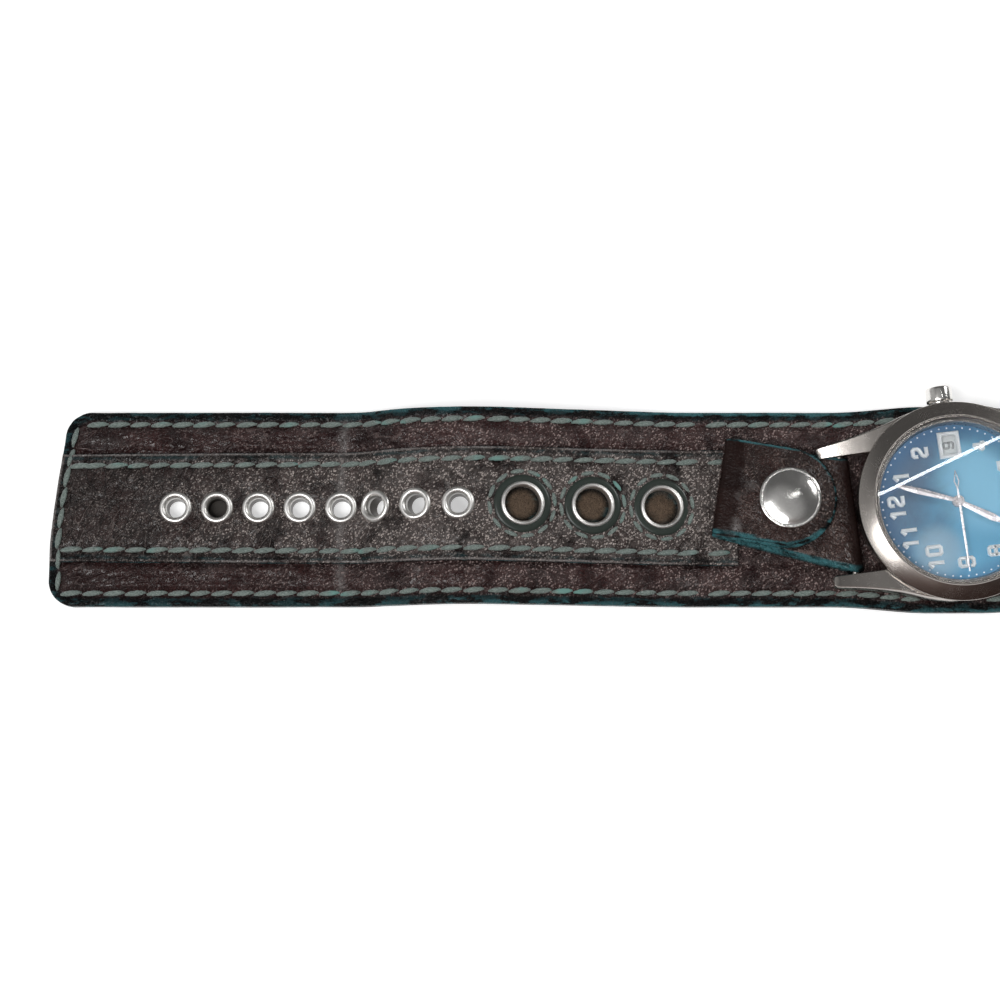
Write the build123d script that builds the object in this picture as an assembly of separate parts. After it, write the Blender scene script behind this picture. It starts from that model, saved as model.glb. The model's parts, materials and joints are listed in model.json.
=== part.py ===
from build123d import *
import os
from math import atan2, cos, degrees, hypot, pi, radians, sin

# A cuff watch, in millimetres. The cuff lies along X with its free tail at -X and its
# buckle at +X. Z = 0 is the table, and the origin is below the watch head, on the
# middle line of the cuff. The crown side is +Y.

# Leather
cuff_width = 39.0
head_flare = 1.5
lining_thick = 1.4
cover_thick = 1.4
strip_thick = 1.3
strap_reach = 131.3
tail_slant_deg = 5.2
tail_corner_r = 3.4
strip_tail_width = 22.0
strip_head_width = 23.6
strip_end_before_fold = 2.6
flare_past_case = 4.5
flare_full_x = 5.0
flare_round_r = 18.0

# Bends of the leather
bend_past_fold = 4.8
toe_bend_r = 12.0
toe_bend_deg = 28.0
toe_run = 2.0
hump_r = 37.0
fall_deg = 10.0
fall_run = 29.9
heel_bend_r = 60.0
tail_joint_after_eyelet = 5.2

# Stitches
stitch_pitch = 4.3
stitch_length = 3.6
stitch_width = 0.95
stitch_rise = 0.45
edge_row_inset = 2.6
strip_row_inset = 2.5
row_end_gap = 2.2
ring_stitches = 12
ring_stitch_length = 2.2
ring_stitch_r = 6.5

# Small eyelets
small_eyelets = 8
small_pitch = 8.35
last_small_before_top = 2.3
small_bore = 3.9
small_barrel = 4.9
small_rim = 6.6
small_rim_rise = 0.5
small_washer = 6.8
small_washer_thick = 0.4

# Large eyelets, blind, with a smooth leather ring under each rim
large_eyelets = 3
large_first_after_small = 12.4
large_pitch = 14.3
large_bore = 7.1
large_barrel = 7.9
large_rim = 8.8
large_rim_rise = 0.5
large_ring = 10.8
large_ring_thick = 0.45
rim_sink = 0.15
rim_round = 0.25

# Clearances
leather_gap = 0.1
turn_gap = 0.05
slip_gap = 0.15
wide_gap = 0.3
overrun = 30.0

# Watch head
head_y = 0.6
head_twist_deg = 6.5
case_d = 39.0
case_wall = 2.6
case_foot_z = 3.8
case_top_z = 9.2
back_inset = 1.2
back_plug_fit = 0.1
back_plug_rise = 0.7
gasket_side = 0.4
back_gasket_inset = 1.9
bezel_lip = 0.5
bezel_rim_width = 3.3
bezel_ledge = 0.4
bezel_ledge_width = 0.8
bezel_rise = 1.9
bezel_slope = 1.5
crystal_thick = 1.5
crystal_dome = 0.35
crystal_gasket_wall = 0.4

# Lugs and spring bars
lug_gap = 24.0
lug_reach = 5.8
lug_tip_width = 2.0
lug_root_y = 9.0
lug_slope_start_deg = 45.0
lug_foot_z = 3.3
lug_tip_top_z = 6.0
lug_root_top_z = 8.6
bar_from_case = 2.1
bar_z = 4.75
bar_r = 0.75
bar_tip_r = 0.45
bar_tip_length = 1.1
bar_shoulder_gap = 0.1

# Dial, flange ring and date
dial_thick = 0.4
dial_fit = 0.2
dial_hole_r = 1.15
dial_ring_foot = 1.2
date_window_inset = 4.0
date_window_radial = 4.1
date_window_across = 3.1
date_frame_wall = 0.45
marker_rise = 0.3
numeral_inset = 3.3
numeral_width = 2.1
numeral_height = 3.4
numeral_bar = 0.5
numeral_space = 0.5
date_ring_fit = 0.25
date_ring_z = 6.75
date_ring_thick = 0.3

# Hands, at 7 hours 3.4 minutes 45 seconds
minutes_shown = 3.4
hours_shown = 7.0
seconds_shown = 45.0
hour_hand_z = 8.05
minute_hand_z = 8.55
second_hand_z = 9.05
hand_thick = 0.2
hour_hand_inset = 6.7
hour_hand_width = 1.5
minute_hand_inset = 2.9
minute_hand_width = 1.3
second_hand_inset = 1.3
second_hand_tail = 5.6
second_hand_width = 0.35
second_tail_width = 1.3
second_arbor_r = 0.2
cannon_bore_r = 0.27
cannon_r = 0.6
hour_tube_bore_r = 0.67
hour_tube_r = 1.0
hand_boss_r = 1.1

# Movement
holder_fit = 0.25
holder_foot_z = 4.6
holder_wall_low = 1.55
holder_wall_high = 0.7
holder_top_z = 7.2
plate_fit = 0.1
plate_z = 5.7
plate_thick = 0.8
battery_r_share = 19 / 60
battery_thick = 1.6
battery_z = 4.65
battery_place_shares = (13 / 30, -1 / 2)
board_thick = 0.35
board_outer_share = 14 / 15
board_inner_share = 16 / 75
bridge_z = 4.6
bridge_thick = 0.2
bridge_outer_share = 14 / 15
bridge_inner_r = 1.6
bridge_post_r = 1.0
bridge_post_ring_share = 4 / 5
bridge_post_degs = (105, 225, 262)
coil_r = 0.45
coil_length_share = 7 / 15
coil_core_half_width = 0.4
coil_place_shares = (-7 / 15, 7 / 15)
stator_thick = 0.3
stator_arm_width = 1.8
stator_bar_width = 3.2
stator_hole_r = 1.1
rotor_place_shares = (-7 / 15, -4 / 15)
rotor_r = 0.8
rotor_thick = 0.4
rotor_pin_r = 0.12
hour_wheel_r = 3.4
wheel_thick = 0.2
hour_wheel_z = 6.95
minute_wheel_r = 0.95
minute_wheel_z = 6.55

# Crown and stem
crown_r = 2.5
crown_length = 3.1
crown_gap_from_case = 0.6
crown_chamfer = 0.5
stem_z = 6.05
stem_r = 0.5
stem_past_plate_edge = 4.0
tube_r = 1.2
tube_bore_r = 0.58
tube_out = 0.7
crown_socket_r = 1.6
crown_socket_depth = 1.5
crown_gasket_thick = 0.5

# Snap tabs
tab_ply = 1.3
flap_thick = 1.25
flap_width = 20.4
flap_length = 22.6
flap_skew_deg = -9.3
fold_from_bar = 24.6
flap_fold_y = 3.7
flap_open_gap = 0.1
tab_loop_r = 1.75
tab_side_gap = 1.6
snap_reach = 13.2
snap_cap_r = 6.2
snap_cap_rise = 1.5
snap_cap_rim = 0.45
socket_r = 4.3
socket_thick = 1.1
socket_bore_r = 2.15
socket_bore_depth = 0.75
stud_flange_r = 4.1
stud_flange_thick = 0.5
stud_r = 1.9
stud_top_gap = 0.15
post_head_r = 3.9
post_head_thick = 0.4
post_r = 1.2

# Buckle end
bar_past_bend = 22.0
buckle_bar_r = 0.9
buckle_ply = 1.2
buckle_slot_half_width = 1.9
buckle_slot_start = 4.0
lining_end_before_bar = 4.4
buckle_inner_length = 14.0
buckle_side_gap = 0.8
buckle_section = 2.4
buckle_round_r = 0.9
buckle_corner_r = 2.4
buckle_eye_r = 1.9
tongue_width = 2.6
tongue_thick = 1.2
tongue_eye_r = 2.0
tongue_overhang = 1.6
keeper_past_bend = 12.7
keeper_width = 5.0
keeper_ply = 1.3
keeper_side_gap = 0.4
keeper_space = 4.8
keeper_corner_r = 1.5

# Heights and places worked out from the sizes above
cover_z = lining_thick
pad_top_z = lining_thick + cover_thick
strip_top_z = pad_top_z + strip_thick
neutral_z = strip_top_z / 2
half_width = cuff_width / 2
head_cuff_width = cuff_width + 2 * head_flare
bar_y = case_d / 2 + bar_from_case
lug_span = case_d + 2 * lug_reach
tab_bar_width = lug_gap - 2 * tab_side_gap
flap_fold_x = -bar_y - fold_from_bar
strip_end_x = -flap_fold_x - strip_end_before_fold
crown_bend_x = -flap_fold_x + bend_past_fold
tail_tip_x = -crown_bend_x - strap_reach
flare_end_x = case_d / 2 + flare_past_case
buckle_bar_x = crown_bend_x + bar_past_bend
keeper_x = crown_bend_x + keeper_past_bend
buckle_inner_width = cuff_width + 2 * buckle_side_gap
keeper_inner_half_width = half_width + keeper_side_gap
tail_slant = cuff_width * sin(radians(tail_slant_deg))
case_bore = case_d - 2 * case_wall
back_d = case_d - 2 * back_inset
back_plug_d = case_bore - 2 * back_plug_fit
back_gasket_d = case_d - 2 * back_gasket_inset
bezel_d = case_d + 2 * bezel_lip
crystal_d = bezel_d - 2 * bezel_rim_width
bezel_ledge_bore = crystal_d - 2 * bezel_ledge_width
dial_d = case_bore - 2 * dial_fit
dial_ring_d = dial_d + 2 * turn_gap
dial_ring_bore_low = dial_d - 2 * dial_ring_foot
dial_open_r = dial_ring_bore_low / 2
date_window_r = dial_open_r - date_window_inset
numeral_r = dial_open_r - numeral_inset
hour_hand_length = dial_open_r - hour_hand_inset
minute_hand_length = dial_open_r - minute_hand_inset
second_hand_length = dial_open_r - second_hand_inset
holder_d = case_bore - 2 * holder_fit
holder_bore_low = holder_d - 2 * holder_wall_low
holder_bore_high = holder_d - 2 * holder_wall_high
date_ring_d = holder_bore_high - 2 * date_ring_fit
date_ring_bore = 2 * (date_window_r - slip_gap) - date_window_radial
plate_d = holder_bore_low - 2 * plate_fit
plate_r = plate_d / 2
battery_r = plate_r * battery_r_share
battery_x, battery_y = [plate_r * share for share in battery_place_shares]
coil_length = plate_r * coil_length_share
coil_x, coil_y = [plate_r * share for share in coil_place_shares]
rotor_x, rotor_y = [plate_r * share for share in rotor_place_shares]
stem_inner_x = plate_r - stem_past_plate_edge
crystal_z = case_top_z + bezel_ledge
dial_z = holder_top_z
dial_top_z = dial_z + dial_thick
tab_top_z = pad_top_z + 2 * tab_ply
flap_z = tab_top_z + flap_open_gap
flap_top_z = flap_z + flap_thick
fold_split_z = tab_top_z + flap_open_gap / 2
buckle_bar_z = buckle_bar_r + leather_gap + buckle_ply
buckle_loop_r = buckle_bar_z

os.makedirs("parts", exist_ok=True)
on_floor = (Align.CENTER, Align.CENTER, Align.MIN)


def save(node, *solids):
    """Write the solids of one node."""
    shape = solids[0] if len(solids) == 1 else Compound(list(solids))
    export_step(shape, os.path.join("parts", node + ".step"))


def solid_of(shape):
    """The largest solid of a result, free of its grouping."""
    return max(shape.solids(), key=lambda solid: solid.volume)


def disc(radius, low, high):
    """A round bar along Z."""
    return Pos(0, 0, low) * Cylinder(radius, high - low, align=on_floor)


def collar(outer_r, inner_r, low, high):
    """A round tube along Z."""
    return disc(outer_r, low, high) - disc(inner_r, low - overrun, high + overrun)


def turned(*points):
    """A closed outline of radius and height, turned about Z."""
    return revolve(Plane.XZ * Polygon(*points, align=None), Axis.Z)


def block(low, high):
    """A box between two corners."""
    size = [b - a for a, b in zip(low, high)]
    middle = [(a + b) / 2 for a, b in zip(low, high)]
    return Pos(*middle) * Box(*size)


def raised(sheet, low, high):
    """A flat sheet on the XY plane, given height."""
    return extrude(Pos(0, 0, low) * sheet, high - low, dir=(0, 0, 1))


def plate(points, low, high):
    """A flat outline with height."""
    return raised(Polygon(*points, align=None), low, high)


def bar_along_y(radius, length):
    """A round bar along Y, centred."""
    return Rot(90, 0, 0) * Cylinder(radius, length)


# The long half of the cuff follows a line of straights and arcs, each given as its
# length and its turn, drawn through the middle of the leather's thickness.
toe_turn = radians(toe_bend_deg)
fall_turn = radians(fall_deg)
toe_neutral_r = toe_bend_r - neutral_z
hump_neutral_r = hump_r + neutral_z
heel_neutral_r = heel_bend_r - neutral_z
arch_span = (
    toe_neutral_r * sin(toe_turn) + toe_run * cos(toe_turn)
    + hump_neutral_r * (sin(toe_turn) + sin(fall_turn))
    + fall_run * cos(fall_turn) + heel_neutral_r * sin(fall_turn)
)
flat_tail = -crown_bend_x - arch_span - tail_tip_x
strap_path = [
    (flat_tail, 0.0),
    (toe_neutral_r * toe_turn, toe_turn),
    (toe_run, 0.0),
    (hump_neutral_r * (toe_turn + fall_turn), -toe_turn - fall_turn),
    (fall_run, 0.0),
    (heel_neutral_r * fall_turn, fall_turn),
]
strap_length = sum(length for length, turn in strap_path)
path_joins = [sum(length for length, turn in strap_path[:n]) for n in range(len(strap_path) + 1)]
hump_top = path_joins[3] + hump_neutral_r * toe_turn


def station(along):
    """Place and heading of the middle line at a length from the tail tip."""
    x, z, heading = tail_tip_x, neutral_z, 0.0
    rest = along
    for length, turn in strap_path:
        step = max(min(rest, length), 0.0)
        if turn:
            radius = length / turn
            end = heading + step / radius
            x += radius * (sin(end) - sin(heading))
            z += radius * (cos(heading) - cos(end))
            heading = end
        else:
            x += step * cos(heading)
            z += step * sin(heading)
        rest -= step
    return x, z, heading


def on_path(along, height, across=0.0):
    """A frame on the leather: X along it, Z out of it, at a height over its underside."""
    x, z, heading = station(along)
    rise = height - neutral_z
    origin = (x - rise * sin(heading), across, z + rise * cos(heading))
    return Plane(origin, x_dir=(cos(heading), 0, sin(heading)), z_dir=(-sin(heading), 0, cos(heading)))


def path_edges(start, end, height):
    """The middle line between two stations, moved to a height."""
    marks = [start] + [mark for mark in path_joins[1:-1] if start < mark < end] + [end]
    edges = []
    for a, b in zip(marks, marks[1:]):
        first = on_path(a, height).origin
        middle = on_path((a + b) / 2, height).origin
        last = on_path(b, height).origin
        index = max(n for n, mark in enumerate(path_joins[:-1]) if mark <= (a + b) / 2)
        if strap_path[index][1]:
            edges.append(Edge.make_three_point_arc(first, middle, last))
        else:
            edges.append(Edge.make_line(first, last))
    return edges


def ribbon(start, end, low, high, half):
    """A layer of leather along the path, between two heights."""
    under = path_edges(start, end, low)
    over = path_edges(start, end, high)
    near = Edge.make_line(on_path(start, low).origin, on_path(start, high).origin)
    far = Edge.make_line(on_path(end, low).origin, on_path(end, high).origin)
    return extrude(Face(Wire(under + [far] + over + [near])), half, both=True)


def tail_outline():
    """Plan of the tail end: slanted, with round corners, and open towards the head."""
    corners = [
        (tail_tip_x + tail_slant, half_width), (tail_tip_x, -half_width),
        (0, -half_width), (0, half_width),
    ]
    sheet = Polygon(*corners, align=None)
    ends = sheet.vertices().sort_by(Axis.X)[:2]
    sheet = fillet(ends, tail_corner_r)
    return raised(sheet, -overrun, overrun)


def strip_half(x):
    """Half width of the centre strip, which widens towards the head."""
    share = (x - tail_tip_x) / (-strip_end_x - tail_tip_x)
    return (strip_tail_width + (strip_head_width - strip_tail_width) * share) / 2


def strip_outline():
    """Plan of the centre strip of the long half."""
    upper = [(x, strip_half(x)) for x in (tail_tip_x - overrun, -strip_end_x)]
    corners = upper + [(x, -half) for x, half in reversed(upper)]
    return plate(corners, -overrun, overrun)


def cuff_half(x):
    """Half width of the pad, which widens under the head."""
    far = abs(x)
    share = min(max((flare_end_x - far) / (flare_end_x - flare_full_x), 0.0), 1.0)
    return (cuff_width + (head_cuff_width - cuff_width) * share) / 2


def pad_outline():
    """Plan of the pad under the head."""
    marks = [-crown_bend_x, -flare_end_x, -flare_full_x, flare_full_x, flare_end_x, crown_bend_x]
    upper = [(x, cuff_half(x)) for x in marks]
    lower = [(x, -cuff_half(x)) for x in reversed(marks)]
    sheet = Polygon(*upper, *lower, align=None)
    bends = [v for v in sheet.vertices() if abs(v.X) < crown_bend_x - leather_gap]
    return fillet(bends, flare_round_r)


# Stations of the eyelets and of the joint past the last small eyelet
last_small = hump_top - last_small_before_top
small_stations = [last_small - n * small_pitch for n in range(small_eyelets)]
large_stations = [last_small + large_first_after_small + n * large_pitch for n in range(large_eyelets)]
tail_joint = last_small + tail_joint_after_eyelet


def through(stations, radius, low, high):
    """Round cutters square to the leather at some stations, between two heights."""
    return [on_path(s, low).location * disc(radius, 0, high - low) for s in stations]


def cut(shape, cutters):
    """Take every cutter out of a shape."""
    for cutter in cutters:
        shape = shape - cutter
    return shape


def eyelet(bore, barrel, rim, foot, seat, top):
    """A metal eyelet: a barrel under a rounded rim."""
    return turned(
        (bore / 2, foot), (barrel / 2, foot), (barrel / 2, seat), (rim / 2, seat),
        (rim / 2, top - rim_round), (rim / 2 - rim_round, top),
        (bore / 2 + rim_round, top), (bore / 2, top - rim_round),
    )


def stitch(length):
    """One stitch of thread, lying on the leather."""
    return solid_of(raised(SlotOverall(length, stitch_width), 0, stitch_rise))


def marks_between(start, end):
    """Evenly pitched places between two ends, centred in the run."""
    count = int((end - start) / stitch_pitch) + 1
    first = (start + end - (count - 1) * stitch_pitch) / 2
    return [first + n * stitch_pitch for n in range(count)]


# Leather of the tail, with the small eyelets through all its layers
rim_seat = strip_top_z - rim_sink
barrel_holes = through(small_stations, small_barrel / 2 + turn_gap, -overrun, overrun)
washer_seats = through(small_stations, small_washer / 2 + turn_gap, -overrun, small_washer_thick)
rim_seats = through(small_stations, small_rim / 2 + turn_gap, rim_seat, overrun)


def tail_layer(low, high):
    """One layer of the tail, before its holes."""
    return ribbon(0, tail_joint, low, high, half_width) & tail_outline()


save("tail_lining", solid_of(cut(tail_layer(0, lining_thick), barrel_holes + washer_seats)))
save("tail_cover", solid_of(cut(tail_layer(cover_z, pad_top_z), barrel_holes)))
tail_strip = tail_layer(pad_top_z, strip_top_z) & strip_outline()
save("tail_strip", solid_of(cut(tail_strip, barrel_holes + rim_seats)))

small_top = strip_top_z + small_rim_rise
small_eyelet = eyelet(small_bore, small_barrel, small_rim, 0, rim_seat, small_top)
save("small_eyelets", *[on_path(s, 0).location * small_eyelet for s in small_stations])
washer = collar(small_washer / 2, small_barrel / 2 + turn_gap, 0, small_washer_thick)
save("small_eyelet_washers", *[on_path(s, 0).location * washer for s in small_stations])

# Leather between the tail joint and the head, with the blind large eyelets in its strip
ring_seats = through(large_stations, large_ring / 2 + turn_gap, rim_seat, overrun)
large_holes = through(large_stations, large_barrel / 2 + turn_gap, -overrun, overrun)
save("mid_lining", ribbon(tail_joint, strap_length, 0, lining_thick, half_width))
save("mid_cover", ribbon(tail_joint, strap_length, cover_z, pad_top_z, half_width))
mid_strip = ribbon(tail_joint, strap_length, pad_top_z, strip_top_z, half_width) & strip_outline()
save("mid_strip", solid_of(cut(mid_strip, large_holes + ring_seats)))

ring_top = rim_seat + large_ring_thick
leather_ring = collar(large_ring / 2, large_barrel / 2 + turn_gap, rim_seat, ring_top)
save("large_eyelet_rings", *[on_path(s, 0).location * leather_ring for s in large_stations])
large_eyelet = eyelet(
    large_bore, large_barrel, large_rim, pad_top_z + rim_sink, ring_top, ring_top + large_rim_rise
)
save("large_eyelets", *[on_path(s, 0).location * large_eyelet for s in large_stations])


# Thread: rows along the edges and the strip, a row across the tail end, and a ring
# round each large eyelet
edge_row = half_width - edge_row_inset
long_stitch = stitch(stitch_length)


def strip_row(x):
    """Distance of the strip's rows from the middle line."""
    return strip_half(x) - strip_row_inset


def rows_on_path(start, end):
    """Stitches along both edges and both sides of the strip."""
    made = []
    for along in marks_between(start, end):
        across = strip_row(station(along)[0])
        for side in (1, -1):
            made.append(on_path(along, pad_top_z, side * edge_row).location * long_stitch)
            made.append(on_path(along, strip_top_z, side * across).location * long_stitch)
    return made


def end_row():
    """Stitches across the slanted tail end, on the strip and beside it."""
    made = []
    lean = 90 - tail_slant_deg
    for across in marks_between(-edge_row + stitch_length, edge_row - stitch_length):
        along = edge_row_inset + tail_slant * (across + half_width) / cuff_width
        edge = strip_half(tail_tip_x)
        if abs(across) + stitch_length / 2 < edge:
            height = strip_top_z
        elif abs(across) - stitch_length / 2 > edge:
            height = pad_top_z
        else:
            continue
        made.append(on_path(along, height, across).location * Rot(0, 0, lean) * long_stitch)
    return made


def ring_of_stitches(centre):
    """Stitches in a ring on the strip."""
    made = []
    for n in range(ring_stitches):
        turn = 2 * pi * n / ring_stitches
        place = on_path(centre + ring_stitch_r * cos(turn), strip_top_z, ring_stitch_r * sin(turn))
        made.append(place.location * Rot(0, 0, degrees(turn) + 90) * stitch(ring_stitch_length))
    return made


row_start = edge_row_inset + tail_slant + stitch_length
save("tail_thread", *end_row(), *rows_on_path(row_start, tail_joint - row_end_gap))
mid_stitches = rows_on_path(tail_joint + row_end_gap, strap_length - row_end_gap)
for centre in large_stations:
    mid_stitches += ring_of_stitches(centre)
save("mid_thread", *mid_stitches)

# Pad under the head
pad = pad_outline()
save("pad_lining", raised(pad, 0, lining_thick))
save("pad_cover", raised(pad, cover_z, pad_top_z))
strip_end_half = strip_head_width / 2
joint_half = strip_half(-crown_bend_x)


def strip_end(side):
    """The short stretch of strip beside a tab's fold."""
    points = [
        (side * strip_end_x, strip_end_half), (side * strip_end_x, -strip_end_half),
        (side * crown_bend_x, -joint_half), (side * crown_bend_x, joint_half),
    ]
    return plate(points, pad_top_z, strip_top_z)


save("pad_strip_ends", strip_end(-1), strip_end(1))


def pad_rows():
    """Stitches along both edges of the pad, where the head leaves them room."""
    made = []
    for x in marks_between(-crown_bend_x + row_end_gap, crown_bend_x - row_end_gap):
        ahead = cuff_half(x + stitch_length) - cuff_half(x - stitch_length)
        lean = degrees(atan2(ahead, 2 * stitch_length))
        for side in (1, -1):
            y = side * (cuff_half(x) - edge_row_inset)
            if hypot(x, y - head_y) < back_d / 2 + stitch_length / 2:
                continue
            made.append(Pos(x, y, pad_top_z) * Rot(0, 0, side * lean) * long_stitch)
    for side_x in (1, -1):
        for side_y in (1, -1):
            x = side_x * (crown_bend_x - row_end_gap)
            y = side_y * strip_row(-abs(x))
            made.append(Pos(x, y, strip_top_z) * long_stitch)
    return made


save("pad_thread", *pad_rows())

# Watch head, in the watch's own directions: +Y is 12 o'clock and +X the crown
head_place = Pos(0, head_y, 0) * Rot(0, 0, 90 + head_twist_deg)


def save_head(node, *solids):
    """Write solids of the watch head, turned to their place on the cuff."""
    save(node, *[head_place * solid for solid in solids])


def along_x(radius, low, high, height):
    """A round bar along X between two places."""
    return Pos((low + high) / 2, 0, height) * Rot(0, 90, 0) * Cylinder(radius, high - low)


case_r = case_d / 2
bore_r = case_bore / 2
lug_x = lug_gap / 2
lug_tip_y = lug_span / 2
lug_root_x = (case_r ** 2 - lug_root_y ** 2) ** 0.5


def lug(side_x, side_y):
    """One lug, tapering to its tip and sloping down to it."""
    plan = [
        (lug_x, lug_root_y), (lug_root_x, lug_root_y),
        (lug_x + lug_tip_width, lug_tip_y), (lug_x, lug_tip_y),
    ]
    shape = plate([(side_x * x, side_y * y) for x, y in plan], lug_foot_z, lug_root_top_z)
    slope = [
        (lug_root_y, lug_foot_z), (lug_tip_y, lug_foot_z), (lug_tip_y, lug_tip_top_z - bar_r),
        (lug_tip_y - 2 * bar_r, lug_tip_top_z), (case_r * cos(radians(lug_slope_start_deg)), lug_root_top_z),
        (lug_root_y, lug_root_top_z),
    ]
    side = extrude(Plane.YZ * Polygon(*[(side_y * y, z) for y, z in slope], align=None), overrun, both=True)
    return shape & side


gasket_r = back_gasket_d / 2
case = collar(case_r, bore_r, case_foot_z, case_top_z)
for side_x in (1, -1):
    for side_y in (1, -1):
        case = case + lug(side_x, side_y)
case = case - disc(bore_r, -overrun, overrun)
case = case - disc(back_d / 2 + leather_gap, -overrun, case_foot_z)
case = case - collar(
    gasket_r + turn_gap, gasket_r - gasket_side - turn_gap, -overrun, case_foot_z + gasket_side
)
case = case - along_x(tube_r + turn_gap, 0, overrun, stem_z)
tip_reach = lug_x + bar_tip_length
for side_y in (1, -1):
    hole = along_x(bar_tip_r + turn_gap, -tip_reach, tip_reach, bar_z)
    case = case - Pos(0, side_y * bar_y, 0) * hole
save_head("case", solid_of(case))

spring_bar = (
    along_x(bar_r, -lug_x + bar_shoulder_gap, lug_x - bar_shoulder_gap, bar_z)
    + along_x(bar_tip_r, -tip_reach + turn_gap, tip_reach - turn_gap, bar_z)
)
save_head("spring_bars", Pos(0, bar_y, 0) * spring_bar, Pos(0, -bar_y, 0) * spring_bar)

case_back = disc(back_d / 2, pad_top_z, case_foot_z)
case_back = case_back + disc(back_plug_d / 2, case_foot_z, case_foot_z + back_plug_rise)
save_head("case_back", case_back)
gasket = collar(gasket_r, gasket_r - gasket_side, case_foot_z, case_foot_z + gasket_side)
save_head("back_gasket", gasket)

bezel_top_z = case_top_z + bezel_rise
bezel_seat_r = crystal_d / 2 + crystal_gasket_wall + turn_gap
save_head("bezel", turned(
    (bezel_ledge_bore / 2, case_top_z), (bezel_d / 2, case_top_z),
    (bezel_d / 2, case_top_z + bezel_rise / 2), (bezel_d / 2 - bezel_slope, bezel_top_z),
    (bezel_seat_r, bezel_top_z), (bezel_seat_r, crystal_z), (bezel_ledge_bore / 2, crystal_z),
))


def dome(radius, foot, shoulder, rise):
    """A round slab with a low domed top."""
    sphere_r = (radius ** 2 + rise ** 2) / (2 * rise)
    ball = Pos(0, 0, shoulder + rise - sphere_r) * Sphere(sphere_r)
    return solid_of(disc(radius, foot, shoulder + 2 * rise) & ball)


save_head("crystal", dome(crystal_d / 2, crystal_z, crystal_z + crystal_thick, crystal_dome))
save_head("crystal_gasket", collar(
    crystal_d / 2 + crystal_gasket_wall, crystal_d / 2 + turn_gap,
    crystal_z, bezel_top_z - gasket_side,
))

# Dial with its window and raised numerals
window_low = (date_window_r - date_window_radial / 2, -date_window_across / 2, -overrun)
window_high = (date_window_r + date_window_radial / 2, date_window_across / 2, overrun)
window = block(window_low, window_high)
dial = collar(dial_d / 2, dial_hole_r, dial_z, dial_top_z) - window
save_head("dial", dial)
save_head("dial_ring", turned(
    (dial_ring_bore_low / 2, dial_top_z), (dial_ring_d / 2, dial_top_z),
    (dial_ring_d / 2, case_top_z), (bezel_ledge_bore / 2, case_top_z),
))

# Each digit is a set of straight strokes: top, upper and lower left and right,
# middle and bottom
stroke_sets = {
    "0": "t ul ur ll lr b", "1": "ur lr", "2": "t ur m ll b", "3": "t ur m lr b",
    "4": "ul ur m lr", "5": "t ul m lr b", "6": "t ul m ll lr b", "7": "t ur lr",
    "8": "t ul ur m ll lr b", "9": "t ul ur m lr b",
}


def digit(name):
    """One raised digit, centred."""
    w, h, s = numeral_width / 2, numeral_height / 2, numeral_bar
    strokes = {
        "t": ((-w, h - s), (w, h)), "b": ((-w, -h), (w, s - h)), "m": ((-w, -s / 2), (w, s / 2)),
        "ul": ((-w, -s / 2), (s - w, h)), "ll": ((-w, -h), (s - w, s / 2)),
        "ur": ((w - s, -s / 2), (w, h)), "lr": ((w - s, -h), (w, s / 2)),
    }
    shape = None
    for stroke in stroke_sets[name].split():
        low, high = strokes[stroke]
        bar = block((*low, dial_top_z), (*high, dial_top_z + marker_rise))
        shape = bar if shape is None else shape + bar
    return solid_of(shape)


def numeral(hour):
    """The digits of one hour, upright on the dial."""
    turn = 2 * pi * hour / 12
    x, y = numeral_r * sin(turn), numeral_r * cos(turn)
    text = str(hour)
    step = numeral_width + numeral_space
    first = -step * (len(text) - 1) / 2
    return [Pos(x + first + n * step, y, 0) * digit(name) for n, name in enumerate(text)]


frame_low = (window_low[0] - date_frame_wall, window_low[1] - date_frame_wall, dial_top_z)
frame_high = (window_high[0] + date_frame_wall, window_high[1] + date_frame_wall, dial_top_z + marker_rise)
markers = [block(frame_low, frame_high) - window]
for hour in (1, 2, 4, 5, 6, 7, 8, 9, 10, 11, 12):
    markers += numeral(hour)
save_head("dial_markers", *markers)

# Movement
plate_top_z = plate_z + plate_thick
ledge_z = date_ring_z - turn_gap
holder = collar(holder_d / 2, holder_bore_low / 2, holder_foot_z, holder_top_z)
holder = holder - disc(holder_bore_high / 2, ledge_z, overrun)
holder = holder - along_x(tube_r, 0, overrun, stem_z)
save_head("movement_holder", holder)

battery_at = Pos(battery_x, battery_y, 0)
rotor_at = Pos(rotor_x, rotor_y, 0)
stem_notch = block(
    (stem_inner_x - wide_gap, -stem_r - wide_gap, -overrun), (overrun, stem_r + wide_gap, overrun)
)
main_plate = collar(plate_r, cannon_bore_r, plate_z, plate_top_z)
main_plate = main_plate - battery_at * disc(battery_r + leather_gap, -overrun, overrun)
main_plate = main_plate - rotor_at * disc(rotor_pin_r + turn_gap, -overrun, overrun)
save_head("main_plate", solid_of(main_plate - stem_notch))
save_head("battery", battery_at * disc(battery_r, battery_z, battery_z + battery_thick))

board_edge = stem_r + 2 * wide_gap
board = collar(plate_r * board_outer_share, plate_r * board_inner_share, plate_z - board_thick, plate_z)
board = board & block((board_edge, board_edge, -overrun), (overrun, overrun, overrun))
save_head("circuit_board", solid_of(board))

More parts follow.
